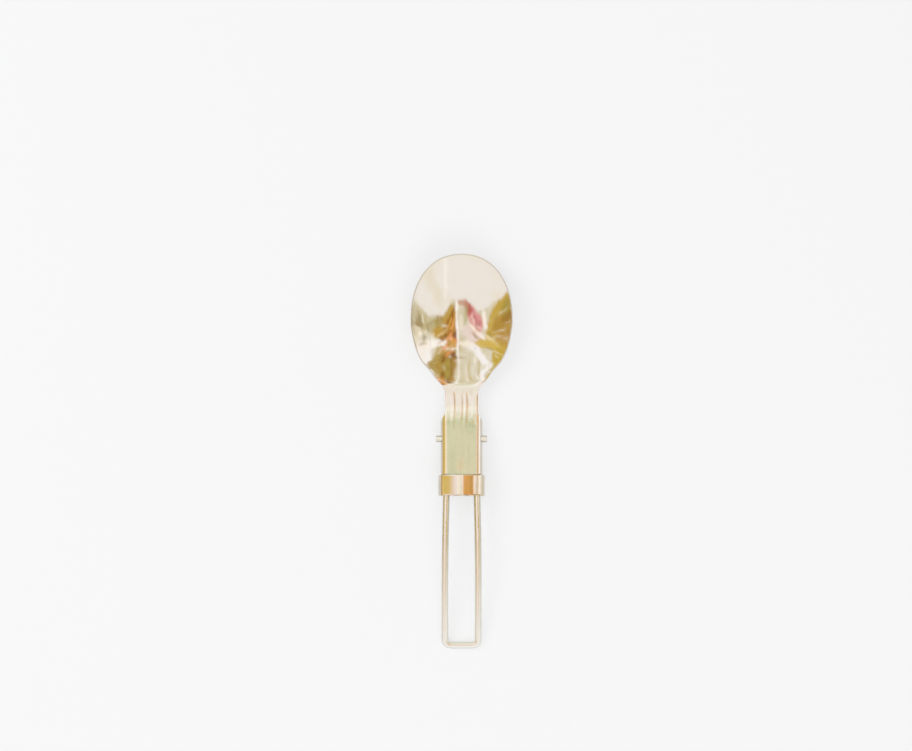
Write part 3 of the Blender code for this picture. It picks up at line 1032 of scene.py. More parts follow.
@dataclass
class WireHandle:
    """One steel wire bent to a long U, drooping along an arc, whose turned-out ends are the hinge pins."""

    radius: float = 1.4 * MM
    leg_offset_at_tang: float = 6.1 * MM
    leg_offset_at_end: float = 6.9 * MM
    spread_start: float = 15.0 * MM
    spread_length: float = 47 * MM
    length: float = 86.5 * MM
    end_corner_radius: float = 2.4 * MM
    pin_bend_radius: float = 1.6 * MM
    pin_end: float = 10.5 * MM
    pin_rounding: float = 0.25 * MM
    pole_radius: float = 0.0001 * MM
    weld: float = 0.001 * MM
    pin_steps: int = 6
    bend_steps: int = 18
    leg_steps: int = 129
    bar_steps: int = 8
    rounding_steps: int = 5
    sides: int = 32

    def half_outline(self) -> np.ndarray:
        """Half the wire laid flat, from the pin's end to the middle of the crossbar.

        Returns:
            N x 2 places (x, along).
        """
        pin_x = np.linspace(self.pin_end - self.pin_rounding, self.leg_offset_at_tang + self.pin_bend_radius,
                            self.pin_steps, endpoint=False)
        pin = np.stack([pin_x, np.zeros_like(pin_x)], -1)
        turn = np.linspace(math.pi / 2, 0, self.bend_steps, endpoint=False)
        bend = np.stack([self.leg_offset_at_tang + self.pin_bend_radius * (1 - np.cos(turn)),
                         self.pin_bend_radius * (1 - np.sin(turn))], -1)
        leg_end = self.length - self.end_corner_radius
        along = np.linspace(self.pin_bend_radius, leg_end, self.leg_steps + 1)
        spread = np.sin(np.clip((along - self.spread_start) / self.spread_length, 0, 1) * math.pi / 2)
        spread = (self.leg_offset_at_end - self.leg_offset_at_tang) * spread
        leg = np.stack([self.leg_offset_at_tang + spread, along], -1)
        turn = np.linspace(0, math.pi / 2, self.bend_steps + 1)[1:]
        corner = np.stack([self.leg_offset_at_end - self.end_corner_radius * (1 - np.cos(turn)),
                           leg_end + self.end_corner_radius * np.sin(turn)], -1)
        bar_x = np.linspace(corner[-1, 0], 0, self.bar_steps + 1)[1:]
        bar = np.stack([bar_x, np.full_like(bar_x, self.length)], -1)
        return np.concatenate([pin, bend, leg, corner, bar])

    def outline(self) -> np.ndarray:
        """The whole flat outline, from the right pin's end to the left one's."""
        half = self.half_outline()
        return np.concatenate([half, half[-2::-1] * (-1, 1)])

    def on_arc(self, outline: np.ndarray, place: HingeFrame) -> tuple[np.ndarray, np.ndarray]:
        """Lays the flat outline on the handle's side: straight from the hinge, then a circle that droops.

        Args:
            outline: N x 2 places (x, along).
            place: gives the straight length and the circle's radius.

        Returns:
            N x 3 points and the N x 3 directions square to the side there.
        """
        x, along = outline.T
        straight, radius = place.straight_length, place.arc_radius
        angle = np.clip(along - straight, 0, None) / radius
        up = np.stack([np.zeros_like(x), -np.sin(angle), np.cos(angle)], -1)
        y = -np.minimum(along, straight) - radius * np.sin(angle)
        return np.stack([x, y, radius * (np.cos(angle) - 1)], -1), up

    def tube(self, centre: np.ndarray, up: np.ndarray) -> tuple[np.ndarray, np.ndarray, np.ndarray]:
        """Round section carried along the centre line, with rounded ends.

        A ring's point is centre + r (cos a * side + sin a * up), side being square to the line and to up. At
        each end rings on a quarter circle shrink to the flat end face, whose middle is a pole.

        Args:
            centre: N x 3 centre line.
            up: N x 3 directions square to it.

        Returns:
            Points, quads and the points' places on the surface, (around, along).
        """
        tangent = np.gradient(centre, axis=0)
        tangent /= np.linalg.norm(tangent, axis=1, keepdims=True)
        side = np.cross(tangent, up)
        quarter = np.linspace(0, math.pi / 2, self.rounding_steps + 1)[1:]
        step_out = self.pin_rounding * np.sin(quarter)
        shrunk = self.radius - self.pin_rounding * (1 - np.cos(quarter))
        step_out, shrunk = np.append(step_out, step_out[-1]), np.append(shrunk, self.pole_radius)
        start = centre[0] - tangent[0] * step_out[::-1, None]
        end = centre[-1] + tangent[-1] * step_out[:, None]
        count = len(quarter) + 1
        centre = np.concatenate([start, centre, end])
        radii = np.concatenate([shrunk[::-1], np.full(len(tangent), self.radius), shrunk])
        side = np.concatenate([np.repeat(side[:1], count, 0), side, np.repeat(side[-1:], count, 0)])
        up = np.concatenate([np.repeat(up[:1], count, 0), up, np.repeat(up[-1:], count, 0)])
        angles = -np.linspace(0, 2 * math.pi, self.sides, endpoint=False)
        rings = centre[:, None] + radii[:, None, None] * (
            np.cos(angles)[None, :, None] * side[:, None] + np.sin(angles)[None, :, None] * up[:, None])
        travelled = np.concatenate([[0], np.cumsum(np.linalg.norm(np.diff(centre, axis=0), axis=1))])
        half = travelled[-1] / 2
        along = half - np.abs(travelled - half)
        around = self.radius * (np.abs(angles + math.pi) - math.pi / 2)
        lay = np.stack(np.broadcast_arrays(around[None, :], along[:, None]), -1)
        quads = MeshWriter.grid_quads(len(centre), self.sides, closed=True)
        return rings.reshape(-1, 3), quads, lay.reshape(-1, 2)

    def build(self, place: HingeFrame) -> bpy.types.Object:
        """Makes the bent wire.

        Args:
            place: lays the piece on the table.

        Returns:
            The wire.
        """
        points, quads, lay = self.tube(*self.on_arc(self.outline(), place))
        wire = MeshWriter.write("wire_handle_bent_wire", place.on_table(points), quads, lay)
        merge = wire.modifiers.new("Weld", "WELD")
        merge.merge_threshold = self.weld
        MeshWriter.settle(wire, EDGE_ANGLE)
        return wire


@dataclass
class SlideCollar:
    """Flattened band round both legs; the rib pressed up in its floor runs between them."""

    sheet: float = 0.6 * MM
    length: float = 8.5 * MM
    rest: float = 19.35 * MM
    flat_half_width: float = 6.1 * MM
    corner_radius: float = 2.8 * MM
    crown_angle: float = math.radians(20)
    floor: float = -1.7 * MM
    floor_radius: float = 0.6 * MM
    rib_half_width: float = 3.4 * MM
    rib_height: float = 1.9 * MM
    edge_rounding: float = 0.16 * MM
    hammer_height: float = 0.03 * MM
    hammer_length: float = 7.5 * MM
    hammer_shift: float = 1.1 * MM
    side_bulge: float = 0.08 * MM
    seam_width: float = 0.12 * MM
    seam_depth: float = 0.22 * MM
    seam_overrun: float = 1.0 * MM
    crease: float = math.radians(38)
    length_steps: int = 16
    crown_steps: int = 30
    corner_steps: int = 15
    foot_steps: int = 8
    floor_points: int = 5
    rib_steps: int = 18

    def half_section(self) -> np.ndarray:
        """Inner outline (x, z) of half the band: crown, side, floor and rib, from the top's middle on.

        The crown is a parabola that meets the round corner where both slope by the crown's angle, and the
        rib is a smooth step up to its crest.

        Returns:
            N x 2 places (x, z).
        """
        share = np.linspace(0, 1, self.crown_steps, endpoint=False)
        arch_width = self.flat_half_width + self.corner_radius * math.sin(self.crown_angle)
        arch_height = arch_width * math.tan(self.crown_angle) / 2
        top = np.stack([arch_width * share, self.corner_radius * math.cos(self.crown_angle) + arch_height * (
            1 - share ** 2)], -1)
        angle = np.linspace(self.crown_angle, math.pi / 2, self.corner_steps + 1)
        side = np.stack([self.flat_half_width + self.corner_radius * np.sin(angle),
                         self.corner_radius * np.cos(angle)], -1)
        angle = np.linspace(0, math.pi / 2, self.foot_steps + 1)
        wall = self.flat_half_width + self.corner_radius
        foot = np.stack([wall - self.floor_radius * (1 - np.cos(angle)),
                         self.floor + self.floor_radius * (1 - np.sin(angle))], -1)
        flat_x = np.linspace(foot[-1, 0], self.rib_half_width, self.floor_points + 2)[1:-1]
        flat = np.stack([flat_x, np.full_like(flat_x, self.floor)], -1)
        share = np.linspace(1, 0, self.rib_steps + 1)
        rise = eased_between(self.rib_height, 0, share)
        rib = np.stack([self.rib_half_width * share, self.floor + rise], -1)
        return np.concatenate([top, side, foot, flat, rib])

    def hand_shaping(self, points: np.ndarray) -> np.ndarray:
        """Slight waves across the top and an outward bulge of the left side, as bending leaves them.

        Args:
            points: points of the band.

        Returns:
            The points with them.
        """
        x, y, z = np.moveaxis(points, -1, 0)
        half_way_up = self.corner_radius / 2
        on_top = eased((z - half_way_up) / half_way_up)
        wave = np.cos(2 * math.pi * (x + self.hammer_shift) / self.hammer_length) * self.hammer_height
        at_left = eased((-x - self.flat_half_width) / self.corner_radius)
        bulge = self.side_bulge * at_left * np.cos(math.pi * y / self.length) ** 2
        return np.stack([x - bulge, y, z + wave * on_top], -1)

    def in_place(self, points: np.ndarray, place: HingeFrame) -> np.ndarray:
        """Turns the band about the arc's centre to its rest and lays it on the table.

        Args:
            points: N x 3 points of the band's own frame.
            place: lays the piece on the table.

        Returns:
            The points on the table.
        """
        angle = (self.rest - place.straight_length) / place.arc_radius
        lifted = points + np.array((0, 0, place.arc_radius))
        turned = lifted @ np.array(Matrix.Rotation(angle, 3, "X")).T
        return place.on_table(turned - np.array((0, place.straight_length, place.arc_radius)))

    def seam_cutter(self, place: HingeFrame) -> bpy.types.Object:
        """Thin bar below the rib's crest, for the seam where the strip's two ends meet.

        Args:
            place: lays the piece on the table.

        Returns:
            The bar.
        """
        crest = self.floor + self.rib_height - self.sheet
        low, high = crest - self.seam_overrun, crest + self.seam_depth
        half, reach = self.seam_width / 2, self.length / 2 + self.seam_overrun
        corners = np.array([(x, y, z) for y in (-reach, reach)
                            for x, z in ((-half, low), (half, low), (half, high), (-half, high))])
        ends = [(0, 1, 2, 3), (7, 6, 5, 4)]
        quads = np.array(ends + [(0, 4, 5, 1), (1, 5, 6, 2), (2, 6, 7, 3), (3, 7, 4, 0)])
        return MeshWriter.write("collar_seam_cutter", self.in_place(corners, place), quads)

    def build(self, place: HingeFrame) -> bpy.types.Object:
        """Makes the band, with rounded edges and its seam.

        Args:
            place: lays the piece on the table.

        Returns:
            The collar.
        """
        half = self.half_section()
        section = np.concatenate([half, half[-2:0:-1] * (-1, 1)])
        y = np.linspace(-self.length / 2, self.length / 2, self.length_steps + 1)[:, None]
        band = np.stack(np.broadcast_arrays(section[None, :, 0], y, section[None, :, 1]), -1)
        points = self.in_place(self.hand_shaping(band).reshape(-1, 3), place)
        quads = MeshWriter.grid_quads(self.length_steps + 1, len(section), closed=True)
        collar = MeshWriter.write("slide_collar_band", points, quads)
        add_thickness(collar, self.sheet, 1)
        add_rounding(collar, self.edge_rounding)
        cut_out(collar, self.seam_cutter(place))
        MeshWriter.settle(collar, self.crease)
        return collar


# The stage

@dataclass(frozen=True)
class Card:
    """A soft-edged patch of colour in the sky that polished steel mirrors, by X and Y of its direction."""

    centre: tuple[float, float]
    reach: tuple[float, float]
    colour: Colour
    strength: float = 1.0
    softness: float = 0.5
    turn: float = 0.0

    def over(self, shading: Shading, place: tuple[Signal, Signal], room: object) -> Signal:
        """Lays the patch over the room: full inside its turned ellipse, and nothing past its soft edge.

        Each half axis gives a linear formula of X and Y that is 1 at its end. The root of the sum of their
        squares is the distance from the centre in radii of the ellipse. Plain maths keeps the world's shader
        small enough for Cycles, which Mapping nodes don't.

        Args:
            shading: writer of the world.
            place: X and Y of the direction.
            room: colour of what lies behind.

        Returns:
            The room's colour with the patch in it.
        """
        x, y = place
        turn = math.radians(self.turn)
        cosine, sine = math.cos(turn), math.sin(turn)
        squares = []
        for by_x, by_y, reach in ((cosine, sine, self.reach[0]), (-sine, cosine, self.reach[1])):
            start = -(by_x * self.centre[0] + by_y * self.centre[1]) / reach
            squares.append(x.times_plus(by_x / reach, y.times_plus(by_y / reach, start)).squared())
        away = (squares[0] + squares[1]).root()
        share = away.ramp(1 + self.softness / 2, 1 - self.softness / 2, self.strength)
        return shading.mix(share, room, self.colour)


@dataclass(frozen=True)
class Room:
    """What lights the spoon and what steel mirrors: a room of soft cards, laid one over the other.

    The bowl is hollow, so that a card whose X is above 0 shows in its left half, and one whose Y is above 0
    in its lower half.
    """

    backdrop: Colour = (0.99, 0.99, 0.995)
    ambient: Colour = (0.60, 0.60, 0.61)
    under: Colour = (0.70, 0.68, 0.66)
    under_rise: tuple[float, float] = (0.01, -0.01)
    horizon: Colour = (0.36, 0.32, 0.26)
    horizon_rise: tuple[float, float] = (0.15, 0.03)
    zenith: Colour = (0.76, 0.72, 0.54)
    zenith_drift: Colour = (0.88, 0.84, 0.74)
    drift: Pattern = Pattern(1.9, 3.0, (0.35, 0.62), roughness=0.55)
    sway: Pattern = Pattern(2.6, 3.0, roughness=0.6)
    sway_reach: tuple[float, float] = (0.16, 0.2)
    ruffle: Pattern = Pattern(14.0, 2.0, stretch=(1.0, 0.35, 1.0), turn=0.6)
    ruffle_reach: tuple[float, float] = (0.08, -0.06)
    shard_scale: float = 3.2
    shard_detail: float = 2.0
    shard_limits: tuple[float, float] = (0.64, 0.70)
    shard_stretch: tuple[float, float, float] = (0.7, 6.5, 1.0)
    shard_rise: tuple[float, float] = (-0.46, -0.30)
    shard_share: float = 0.6
    shards: tuple[tuple[float, Colour], ...] = (
        (38.0, (1.08, 1.05, 1.0)), (-42.0, (0.40, 0.27, 0.10)), (80.0, (1.10, 1.08, 1.04)))
    cards: tuple[Card, ...] = (
        # Lower right of the bowl: pale, with a white arch and streaks
        Card((-0.32, 0.22), (0.28, 0.15), (1.06, 1.04, 1.06), 0.9, 0.5),
        Card((-0.46, 0.37), (0.38, 0.10), (1.10, 1.10, 1.18), 1.0, 0.3, -39),
        Card((-0.70, 0.22), (0.14, 0.06), (0.66, 0.60, 0.40), 0.8, 0.6, -25),
        Card((-0.19, 0.58), (0.02, 0.10), (0.66, 0.48, 0.10), 0.7, 0.8, -8),
        Card((-0.34, 0.52), (0.03, 0.12), (1.10, 1.08, 1.05), 0.8, 0.7, -14),
        Card((-0.10, 0.62), (0.02, 0.07), (1.05, 1.00, 0.90), 0.7, 0.8, -4),
        Card((-0.47, 0.57), (0.025, 0.08), (0.62, 0.50, 0.18), 0.6, 0.8, -20),
        # Right side: gold, with brown spots and pale glints
        Card((-0.99, -0.04), (0.31, 0.44), (0.66, 0.46, 0.09), 1.0, 0.2),
        Card((-0.97, -0.30), (0.09, 0.10), (0.42, 0.35, 0.08), 0.7, 0.8),
        Card((-0.94, 0.07), (0.05, 0.08), (0.50, 0.24, 0.05), 0.6, 0.8, -20),
        Card((-0.84, -0.20), (0.05, 0.10), (0.72, 0.54, 0.16), 0.7, 0.8, -30),
        Card((-0.95, -0.16), (0.03, 0.05), (0.26, 0.12, 0.02), 0.7, 0.8, 10),
        Card((-0.80, 0.02), (0.08, 0.02), (0.34, 0.22, 0.05), 0.8, 0.8, -40),
        Card((-0.86, 0.26), (0.10, 0.02), (1.06, 0.96, 0.70), 0.8, 0.8, -56),
        Card((-0.90, 0.44), (0.13, 0.26), (0.66, 0.48, 0.08), 1.0, 0.4),
        Card((-0.90, -0.12), (0.08, 0.12), (0.46, 0.26, 0.05), 0.65, 0.8, 20),
        Card((-0.80, 0.10), (0.14, 0.04), (1.04, 0.90, 0.56), 0.8, 0.6, -36),
        # Right of the middle: rose, white streaks and green
        Card((-0.34, -0.02), (0.34, 0.20), (0.98, 0.84, 0.88), 0.9, 0.5, -30),
        Card((-0.38, -0.16), (0.24, 0.10), (0.98, 0.70, 0.72), 0.85, 0.6, -45),
        Card((-0.31, -0.35), (0.35, 0.12), (0.86, 0.38, 0.42), 1.0, 0.35, -40),
        Card((-0.26, -0.43), (0.24, 0.022), (0.52, 0.13, 0.11), 0.8, 0.6, -42),
        Card((-0.36, -0.27), (0.28, 0.016), (1.08, 0.82, 0.84), 0.85, 0.5, -36),
        Card((-0.46, -0.25), (0.07, 0.03), (0.46, 0.16, 0.14), 0.7, 0.8, -30),
        Card((-0.24, -0.36), (0.015, 0.09), (1.08, 0.84, 0.86), 0.8, 0.8, -60),
        Card((-0.42, -0.18), (0.10, 0.02), (0.74, 0.24, 0.28), 0.8, 0.8, -46),
        Card((-0.33, -0.22), (0.10, 0.014), (1.10, 0.96, 0.94), 0.8, 0.8, -48),
        Card((-0.20, -0.40), (0.05, 0.05), (0.66, 0.16, 0.16), 0.7, 0.8, -48),
        Card((-0.14, -0.49), (0.11, 0.08), (0.54, 0.12, 0.08), 0.9, 0.7, -50),
        Card((-0.54, 0.11), (0.30, 0.026), (0.42, 0.28, 0.12), 0.85, 0.6, -34),
        Card((-0.46, -0.06), (0.34, 0.034), (1.14, 1.08, 1.04), 1.0, 0.3, -37),
        Card((-0.62, -0.26), (0.055, 0.18), (1.12, 1.07, 1.05), 1.0, 0.4, 22),
        Card((-0.09, -0.40), (0.035, 0.13), (0.50, 0.50, 0.24), 0.8, 0.6, 5),
        Card((0.0, -0.26), (0.035, 0.15), (1.04, 0.99, 0.94), 0.8, 0.6),
        Card((-0.02, -0.56), (0.11, 0.05), (0.62, 0.30, 0.20), 0.8, 0.6, -20),
        # Lower left: olive with brown lines
        Card((0.44, 0.47), (0.36, 0.26), (0.44, 0.29, 0.07), 1.0, 0.2),
        Card((0.68, 0.42), (0.12, 0.16), (0.56, 0.43, 0.13), 0.85, 0.6),
        Card((0.36, 0.57), (0.10, 0.05), (0.52, 0.42, 0.10), 0.7, 0.9, 12),
        Card((0.62, 0.27), (0.16, 0.10), (0.62, 0.50, 0.24), 0.8, 0.6, 20),
        Card((0.22, 0.45), (0.12, 0.05), (0.16, 0.07, 0.02), 0.7, 0.7, -12),
        Card((0.50, 0.52), (0.04, 0.12), (0.26, 0.11, 0.01), 0.7, 0.6, -30),
        Card((0.27, 0.57), (0.018, 0.10), (0.26, 0.12, 0.02), 0.7, 0.8, 14),
        Card((0.60, 0.55), (0.03, 0.09), (0.58, 0.30, 0.05), 0.7, 0.8, -22),
        Card((0.17, 0.55), (0.02, 0.12), (0.62, 0.32, 0.06), 0.7, 0.8, 6),
        # Left of the middle: gold and orange flames, brown and pale streaks between them
        Card((0.35, -0.10), (0.27, 0.44), (0.56, 0.28, 0.04), 1.0, 0.2, -20),
        Card((0.48, -0.34), (0.34, 0.075), (0.60, 0.40, 0.09), 1.0, 0.3, 33),
        Card((0.61, -0.09), (0.21, 0.13), (0.62, 0.40, 0.08), 1.0, 0.5, 24),
        Card((0.68, -0.20), (0.20, 0.06), (0.46, 0.36, 0.10), 0.9, 0.5, 18),
        Card((0.31, 0.20), (0.26, 0.18), (0.90, 0.36, 0.11), 1.0, 0.4, 60),
        Card((0.31, -0.10), (0.32, 0.035), (0.88, 0.42, 0.12), 0.95, 0.4, 60),
        Card((0.47, -0.12), (0.30, 0.03), (0.82, 0.48, 0.12), 0.9, 0.4, 44),
        Card((0.19, 0.00), (0.08, 0.07), (0.20, 0.07, 0.02), 0.9, 0.6, 30),
        Card((0.40, -0.22), (0.34, 0.02), (0.24, 0.09, 0.01), 0.85, 0.5, 50),
        Card((0.24, -0.34), (0.22, 0.016), (0.28, 0.12, 0.01), 0.8, 0.6, 68),
        Card((0.44, 0.02), (0.22, 0.025), (0.20, 0.06, 0.01), 0.9, 0.5, 38),
        Card((0.60, 0.06), (0.18, 0.02), (0.30, 0.15, 0.02), 0.85, 0.5, 26),
        Card((0.56, -0.04), (0.16, 0.014), (1.06, 0.86, 0.56), 0.85, 0.5, 30),
        Card((0.46, 0.22), (0.26, 0.02), (1.10, 0.94, 0.84), 0.95, 0.4, 36),
        Card((0.36, 0.28), (0.16, 0.014), (1.08, 0.96, 0.82), 0.85, 0.5, 50),
        Card((0.80, 0.30), (0.08, 0.12), (0.88, 0.80, 0.68), 0.9, 0.5),
        Card((0.44, 0.38), (0.20, 0.014), (0.30, 0.15, 0.03), 0.8, 0.6, 26),
        # Left side: white and grey, with glints
        Card((0.92, 0.40), (0.14, 0.34), (1.12, 1.12, 1.22), 1.0, 0.3),
        Card((0.88, 0.03), (0.07, 0.14), (0.84, 0.82, 0.74), 0.9, 0.5),
        Card((0.80, 0.06), (0.018, 0.10), (1.14, 1.12, 1.10), 0.9, 0.5, 16),
        Card((0.95, 0.10), (0.03, 0.06), (0.30, 0.30, 0.16), 0.7, 0.8),
        Card((0.90, -0.06), (0.02, 0.07), (1.14, 1.12, 1.10), 0.9, 0.5, -8),
        Card((0.84, -0.12), (0.016, 0.06), (0.34, 0.30, 0.16), 0.7, 0.6, 10),
        Card((0.86, -0.16), (0.13, 0.13), (0.64, 0.57, 0.35), 0.9, 0.6),
        Card((0.95, -0.14), (0.025, 0.08), (0.40, 0.34, 0.20), 0.8, 0.8),
        Card((0.80, -0.20), (0.05, 0.025), (0.46, 0.40, 0.20), 0.7, 0.8, 30),
        Card((0.86, -0.10), (0.014, 0.06), (0.24, 0.26, 0.16), 0.8, 0.8, 6),
        Card((0.91, -0.20), (0.010, 0.05), (1.16, 1.16, 1.12), 0.9, 0.8, 4),
        Card((0.97, 0.04), (0.012, 0.06), (1.16, 1.16, 1.16), 0.9, 0.8),
        Card((0.76, 0.03), (0.010, 0.07), (1.16, 1.14, 1.06), 0.9, 0.8, 10),
        # The row that the collar mirrors: gold, cream, orange and white
        Card((-0.64, 0.17), (0.27, 0.065), (0.76, 0.55, 0.12), 0.95, 0.3),
        Card((-0.132, 0.19), (0.235, 0.07), (1.10, 1.05, 1.00), 0.95, 0.3),
        Card((0.24, 0.19), (0.14, 0.05), (0.76, 0.44, 0.12), 0.9, 0.5),
        Card((0.70, 0.163), (0.28, 0.068), (1.16, 1.15, 1.20), 1.0, 0.25),
        Card((0.47, 0.22), (0.14, 0.014), (0.86, 0.34, 0.08), 0.9, 0.6, 40),
        Card((0.60, 0.13), (0.13, 0.010), (0.52, 0.30, 0.10), 0.8, 0.6, 30),
        Card((0.28, 0.29), (0.18, 0.055), (1.0, 0.94, 0.88), 1.0, 0.5),
        Card((0.37, 0.175), (0.045, 0.04), (0.54, 0.32, 0.06), 0.9, 0.6),
        # The bright line down the middle, and its brown edge
        Card((0.085, 0.0), (0.034, 0.74), (1.14, 1.12, 1.14), 1.0, 0.25, 2),
        Card((0.02, 0.30), (0.010, 0.36), (0.60, 0.40, 0.16), 0.7, 0.5, 1),
        # Upper half of the bowl: white
        Card((-0.70, -0.88), (0.80, 0.46), (1.0, 0.985, 1.0), 1.0, 0.08),
        Card((0.80, -0.77), (0.62, 0.49), (1.0, 0.985, 1.0), 1.0, 0.08, 6),
        Card((0.04, -1.08), (0.9, 0.47), (1.0, 0.985, 1.0), 1.0, 0.08),
        Card((0.34, -0.76), (0.03, 0.24), (1.12, 1.12, 1.16), 0.7, 0.7, -18),
        Card((0.60, -0.60), (0.14, 0.16), (0.90, 0.86, 0.72), 0.5, 0.8, 30),
    )
    last_cards: tuple[Card, ...] = (
        Card((0.45, 0.338), (0.17, 0.036), (0.62, 0.42, 0.12), 0.9, 0.5),
        Card((0.24, 0.26), (0.12, 0.042), (0.72, 0.42, 0.12), 0.9, 0.4),
        Card((0.21, 0.425), (0.08, 0.05), (0.26, 0.10, 0.05), 0.9, 0.7, -15),
        Card((0.53, 0.57), (0.08, 0.07), (0.52, 0.36, 0.09), 0.9, 0.6),
    )

    def swayed(self, shading: Shading, direction: Signal) -> tuple[Signal, Signal]:
        """X and Y of the direction, moved a little by two soft noises so that no card's edge is even.

        Args:
            shading: writer of the world.
            direction: the direction that is looked in.

        Returns:
            X and Y.
        """
        sway = self.sway.on(shading, direction) - NOISE_MIDDLE
        ruffle = self.ruffle.on(shading, direction) - NOISE_MIDDLE
        x, y, _ = shading.parts(direction)
        return (x + sway * self.sway_reach[0] + ruffle * self.ruffle_reach[0],
                y + sway * self.sway_reach[1] + ruffle * self.ruffle_reach[1])

    def mirrored(self, shading: Shading, direction: Signal) -> Signal:
        """Colour of the room in each direction.

        Args:
            shading: writer of the world.
            direction: the direction that is looked in.

        Returns:
            The drifting zenith under the cards, ragged shards and the last cards, down to the horizon.
        """
        x, y = self.swayed(shading, direction)
        room = shading.mix(self.drift.on(shading, direction), self.zenith, self.zenith_drift)
        for card in self.cards:
            room = card.over(shading, (x, y), room)
        for turn, colour in self.shards:
            streaks = Pattern(self.shard_scale, self.shard_detail, self.shard_limits, self.shard_stretch,
                              math.radians(turn)).on(shading, direction)
            room = shading.mix(streaks * y.ramp(*self.shard_rise) * self.shard_share, room, colour)
        for card in self.last_cards:
            room = card.over(shading, (x, y), room)
        z = shading.parts(direction)[2]
        room = shading.mix(z.ramp(*self.horizon_rise), room, self.horizon)
        return shading.mix(z.ramp(*self.under_rise), room, self.under)

    def build(self) -> None:
        """Makes the world: plain light, the backdrop for the camera, and the mirrored room for gloss."""
        world = bpy.data.worlds.new("studio")
        world.use_nodes = True
        shading = Shading(world.node_tree)
        rays = shading.node("ShaderNodeLightPath")
        gloss = shading.signal(rays, "Is Glossy Ray").greater(shading.signal(rays, "Is Transmission Ray"))
        light = shading.mix(shading.signal(rays, "Is Camera Ray"), self.ambient, self.backdrop)
        plain = shading.node("ShaderNodeBackground", None, {"Color": light})
        mirrored = shading.node("ShaderNodeBackground", None, {
            "Color": self.mirrored(shading, shading.coordinates("Generated"))})
        mixed = shading.node("ShaderNodeMixShader", None, {0: gloss, 1: plain, 2: mirrored})
        shading.node("ShaderNodeOutputWorld", None, {"Surface": mixed})
        bpy.context.scene.world = world


@dataclass(frozen=True)
class Softbox:
    """Square area lamp that looks at the spoon; steel mirrors the room instead of it."""

    name: str
    place: tuple[float, float, float]
    size: float
    power: float
    colour: Colour

    def build(self) -> None:
        """Makes the lamp."""
        light = bpy.data.lights.new(self.name, "AREA")
        light.size = self.size
        light.energy = self.power
        light.color = self.colour
        lamp = bpy.data.objects.new(self.name, light)
        lamp.location = self.place
        lamp.rotation_euler = (-Vector(self.place)).to_track_quat("-Z", "Y").to_euler()
        lamp.visible_glossy = False
        bpy.context.scene.collection.objects.link(lamp)


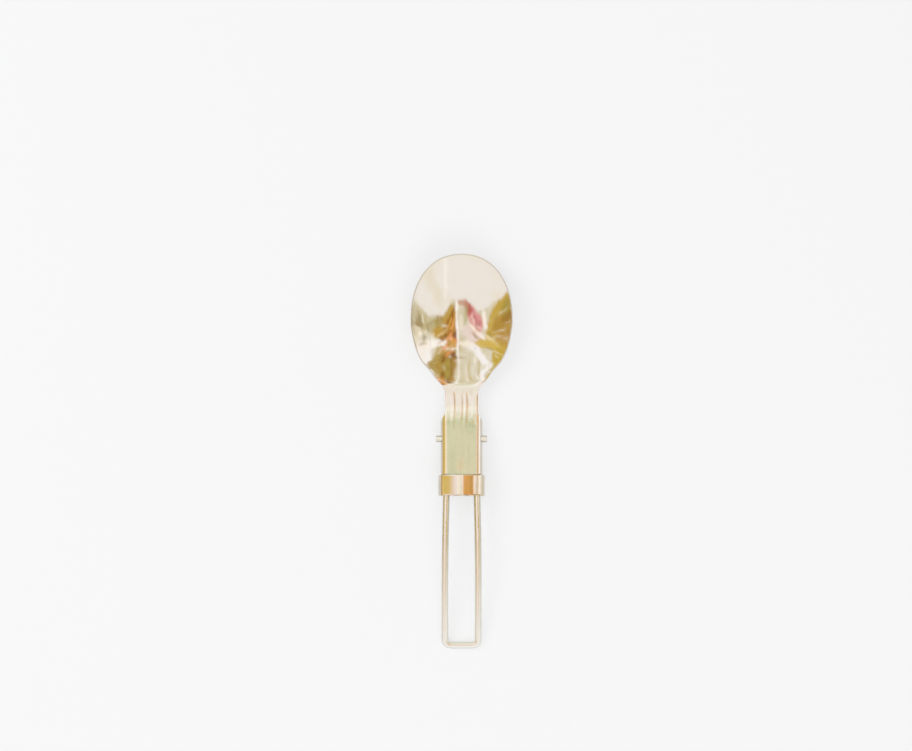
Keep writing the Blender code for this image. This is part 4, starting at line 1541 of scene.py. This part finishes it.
@dataclass
class Studio:
    """Pale floor, soft lamps and the camera straight above."""

    frame_pixels: tuple[int, int] = (912, 751)
    pixel: float = 0.413 * MM
    spoon_pixel: tuple[float, float] = (461.6, 452.1)
    camera_height: float = 1.2
    sensor: float = 36.0
    floor_radius: float = 6.0
    floor_fade: tuple[float, float] = (0.25, 1.0)
    floor_colour: Colour = (0.975, 0.975, 0.98)
    floor_sides: int = 96
    see_through: float = 0.62
    softboxes: tuple[Softbox, ...] = (
        Softbox("left_softbox", (-0.80, 0.35, 0.95), 0.6, 3.2, (1.0, 0.99, 0.97)),
        Softbox("front_softbox", (0.20, -0.80, 1.10), 0.9, 3.4, (1.0, 0.98, 0.96)))

    def add_floor(self) -> None:
        """Disc under the spoon.

        What looks at it sees the backdrop through it and some of its lit surface, so that it is pale and
        keeps the shadows, and the handle still shows when it is folded below the bowl.
        """
        angles = np.linspace(0, 2 * math.pi, self.floor_sides, endpoint=False)
        rim = np.stack([np.cos(angles), np.sin(angles), np.zeros_like(angles)], -1) * self.floor_radius
        points = np.concatenate([rim, np.zeros((1, 3))])
        first = np.arange(len(angles))
        pole = np.full_like(first, len(angles))
        quads = np.stack([first, np.roll(first, -1), pole, pole], 1)
        floor = MeshWriter.write("floor", points, quads)
        material = bpy.data.materials.new("pale_floor")
        material.use_nodes = True
        shading = Shading(material.node_tree)
        rays = shading.node("ShaderNodeLightPath")
        camera, gloss, glass = (shading.signal(rays, f"Is {kind} Ray")
                                for kind in ("Camera", "Glossy", "Transmission"))
        looking = camera.greater(gloss).greater(glass)
        x, y, _ = shading.parts(shading.coordinates("Object"))
        away = (x.squared() + y.squared()).ramp(*(reach ** 2 for reach in self.floor_fade))
        share = looking * (away * (1 - self.see_through) + self.see_through)
        lit = shading.node("ShaderNodeBsdfDiffuse", None, {"Color": self.floor_colour})
        clear = shading.node("ShaderNodeBsdfTransparent")
        mixed = shading.node("ShaderNodeMixShader", None, {0: share, 1: lit, 2: clear})
        shading.node("ShaderNodeOutputMaterial", None, {"Surface": mixed})
        floor.data.materials.append(material)

    def add_camera(self, box: tuple[Vector, Vector]) -> None:
        """Long lens straight above, placed so that the spoon's middle falls on its pixel of the picture.

        Args:
            box: lowest and highest corner of the spoon.
        """
        width, height = self.frame_pixels
        lens = bpy.data.cameras.new("camera")
        lens.sensor_width = self.sensor
        lens.lens = self.sensor * self.camera_height / (width * self.pixel)
        camera = bpy.data.objects.new("camera", lens)
        middle = (box[0] + box[1]) / 2
        camera.location = (middle.x - (self.spoon_pixel[0] - width / 2) * self.pixel,
                           middle.y + (self.spoon_pixel[1] - height / 2) * self.pixel,
                           middle.z + self.camera_height)
        bpy.context.scene.collection.objects.link(camera)
        bpy.context.scene.camera = camera

    def build(self, box: tuple[Vector, Vector]) -> None:
        """Sets up everything round the spoon.

        Args:
            box: lowest and highest corner of the spoon.
        """
        self.add_floor()
        Room().build()
        for softbox in self.softboxes:
            softbox.build()
        self.add_camera(box)
        bpy.context.scene.view_settings.view_transform = "Standard"


# Finishes of the three pieces

HEAD_STEEL = HeadFinish(
    "head_steel_polished", SteelTone((0.84, 0.79, 0.70), (0.82, 0.73, 0.55), (0.86, 0.83, 0.78)),
    Grain.LENGTHWISE, gloss=0.07)
WIRE_STEEL = WireFinish(
    "wire_steel_drawn", SteelTone((0.84, 0.80, 0.71), (0.80, 0.72, 0.56), (0.87, 0.84, 0.78)),
    Grain.DOWN_THE_WIRE, gloss=0.20, wave_height=0.004 * MM, coordinates="UV")
COLLAR_STEEL = SteelFinish(
    "collar_steel_polished", SteelTone((0.85, 0.79, 0.68), (0.83, 0.72, 0.50), (0.88, 0.84, 0.78)),
    Grain.ROUND_THE_BAND, gloss=0.08)


def dress(piece: bpy.types.Object, body: str, node: str, finish: SteelFinish) -> None:
    """Gives a piece its finish and body, and lets it stand for its CAD node.

    Args:
        piece: the finished mesh.
        body: the body that it moves with.
        node: the CAD node that it replaces.
        finish: what its surface looks like.
    """
    piece.data.materials.clear()
    piece.data.materials.append(finish.material())
    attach(piece, body)
    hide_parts(node)
    LOG.info("%s rides on %s: %d vertices, %d faces", piece.name, body, len(piece.data.vertices),
             len(piece.data.polygons))


def main() -> None:
    """Builds the pieces in order, then the stage."""
    logging.basicConfig(level=logging.INFO, format="%(name)s: %(message)s")
    place = HingeFrame.from_record(frame["record"])
    dress(SpoonHead().build(place), "head", "spoon_head", HEAD_STEEL)
    dress(WireHandle().build(place), "handle", "wire_handle", WIRE_STEEL)
    dress(SlideCollar().build(place), "collar", "slide_collar", COLLAR_STEEL)
    Studio().build(CAD_BOX)
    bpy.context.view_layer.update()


if __name__ == "__main__":
    main()
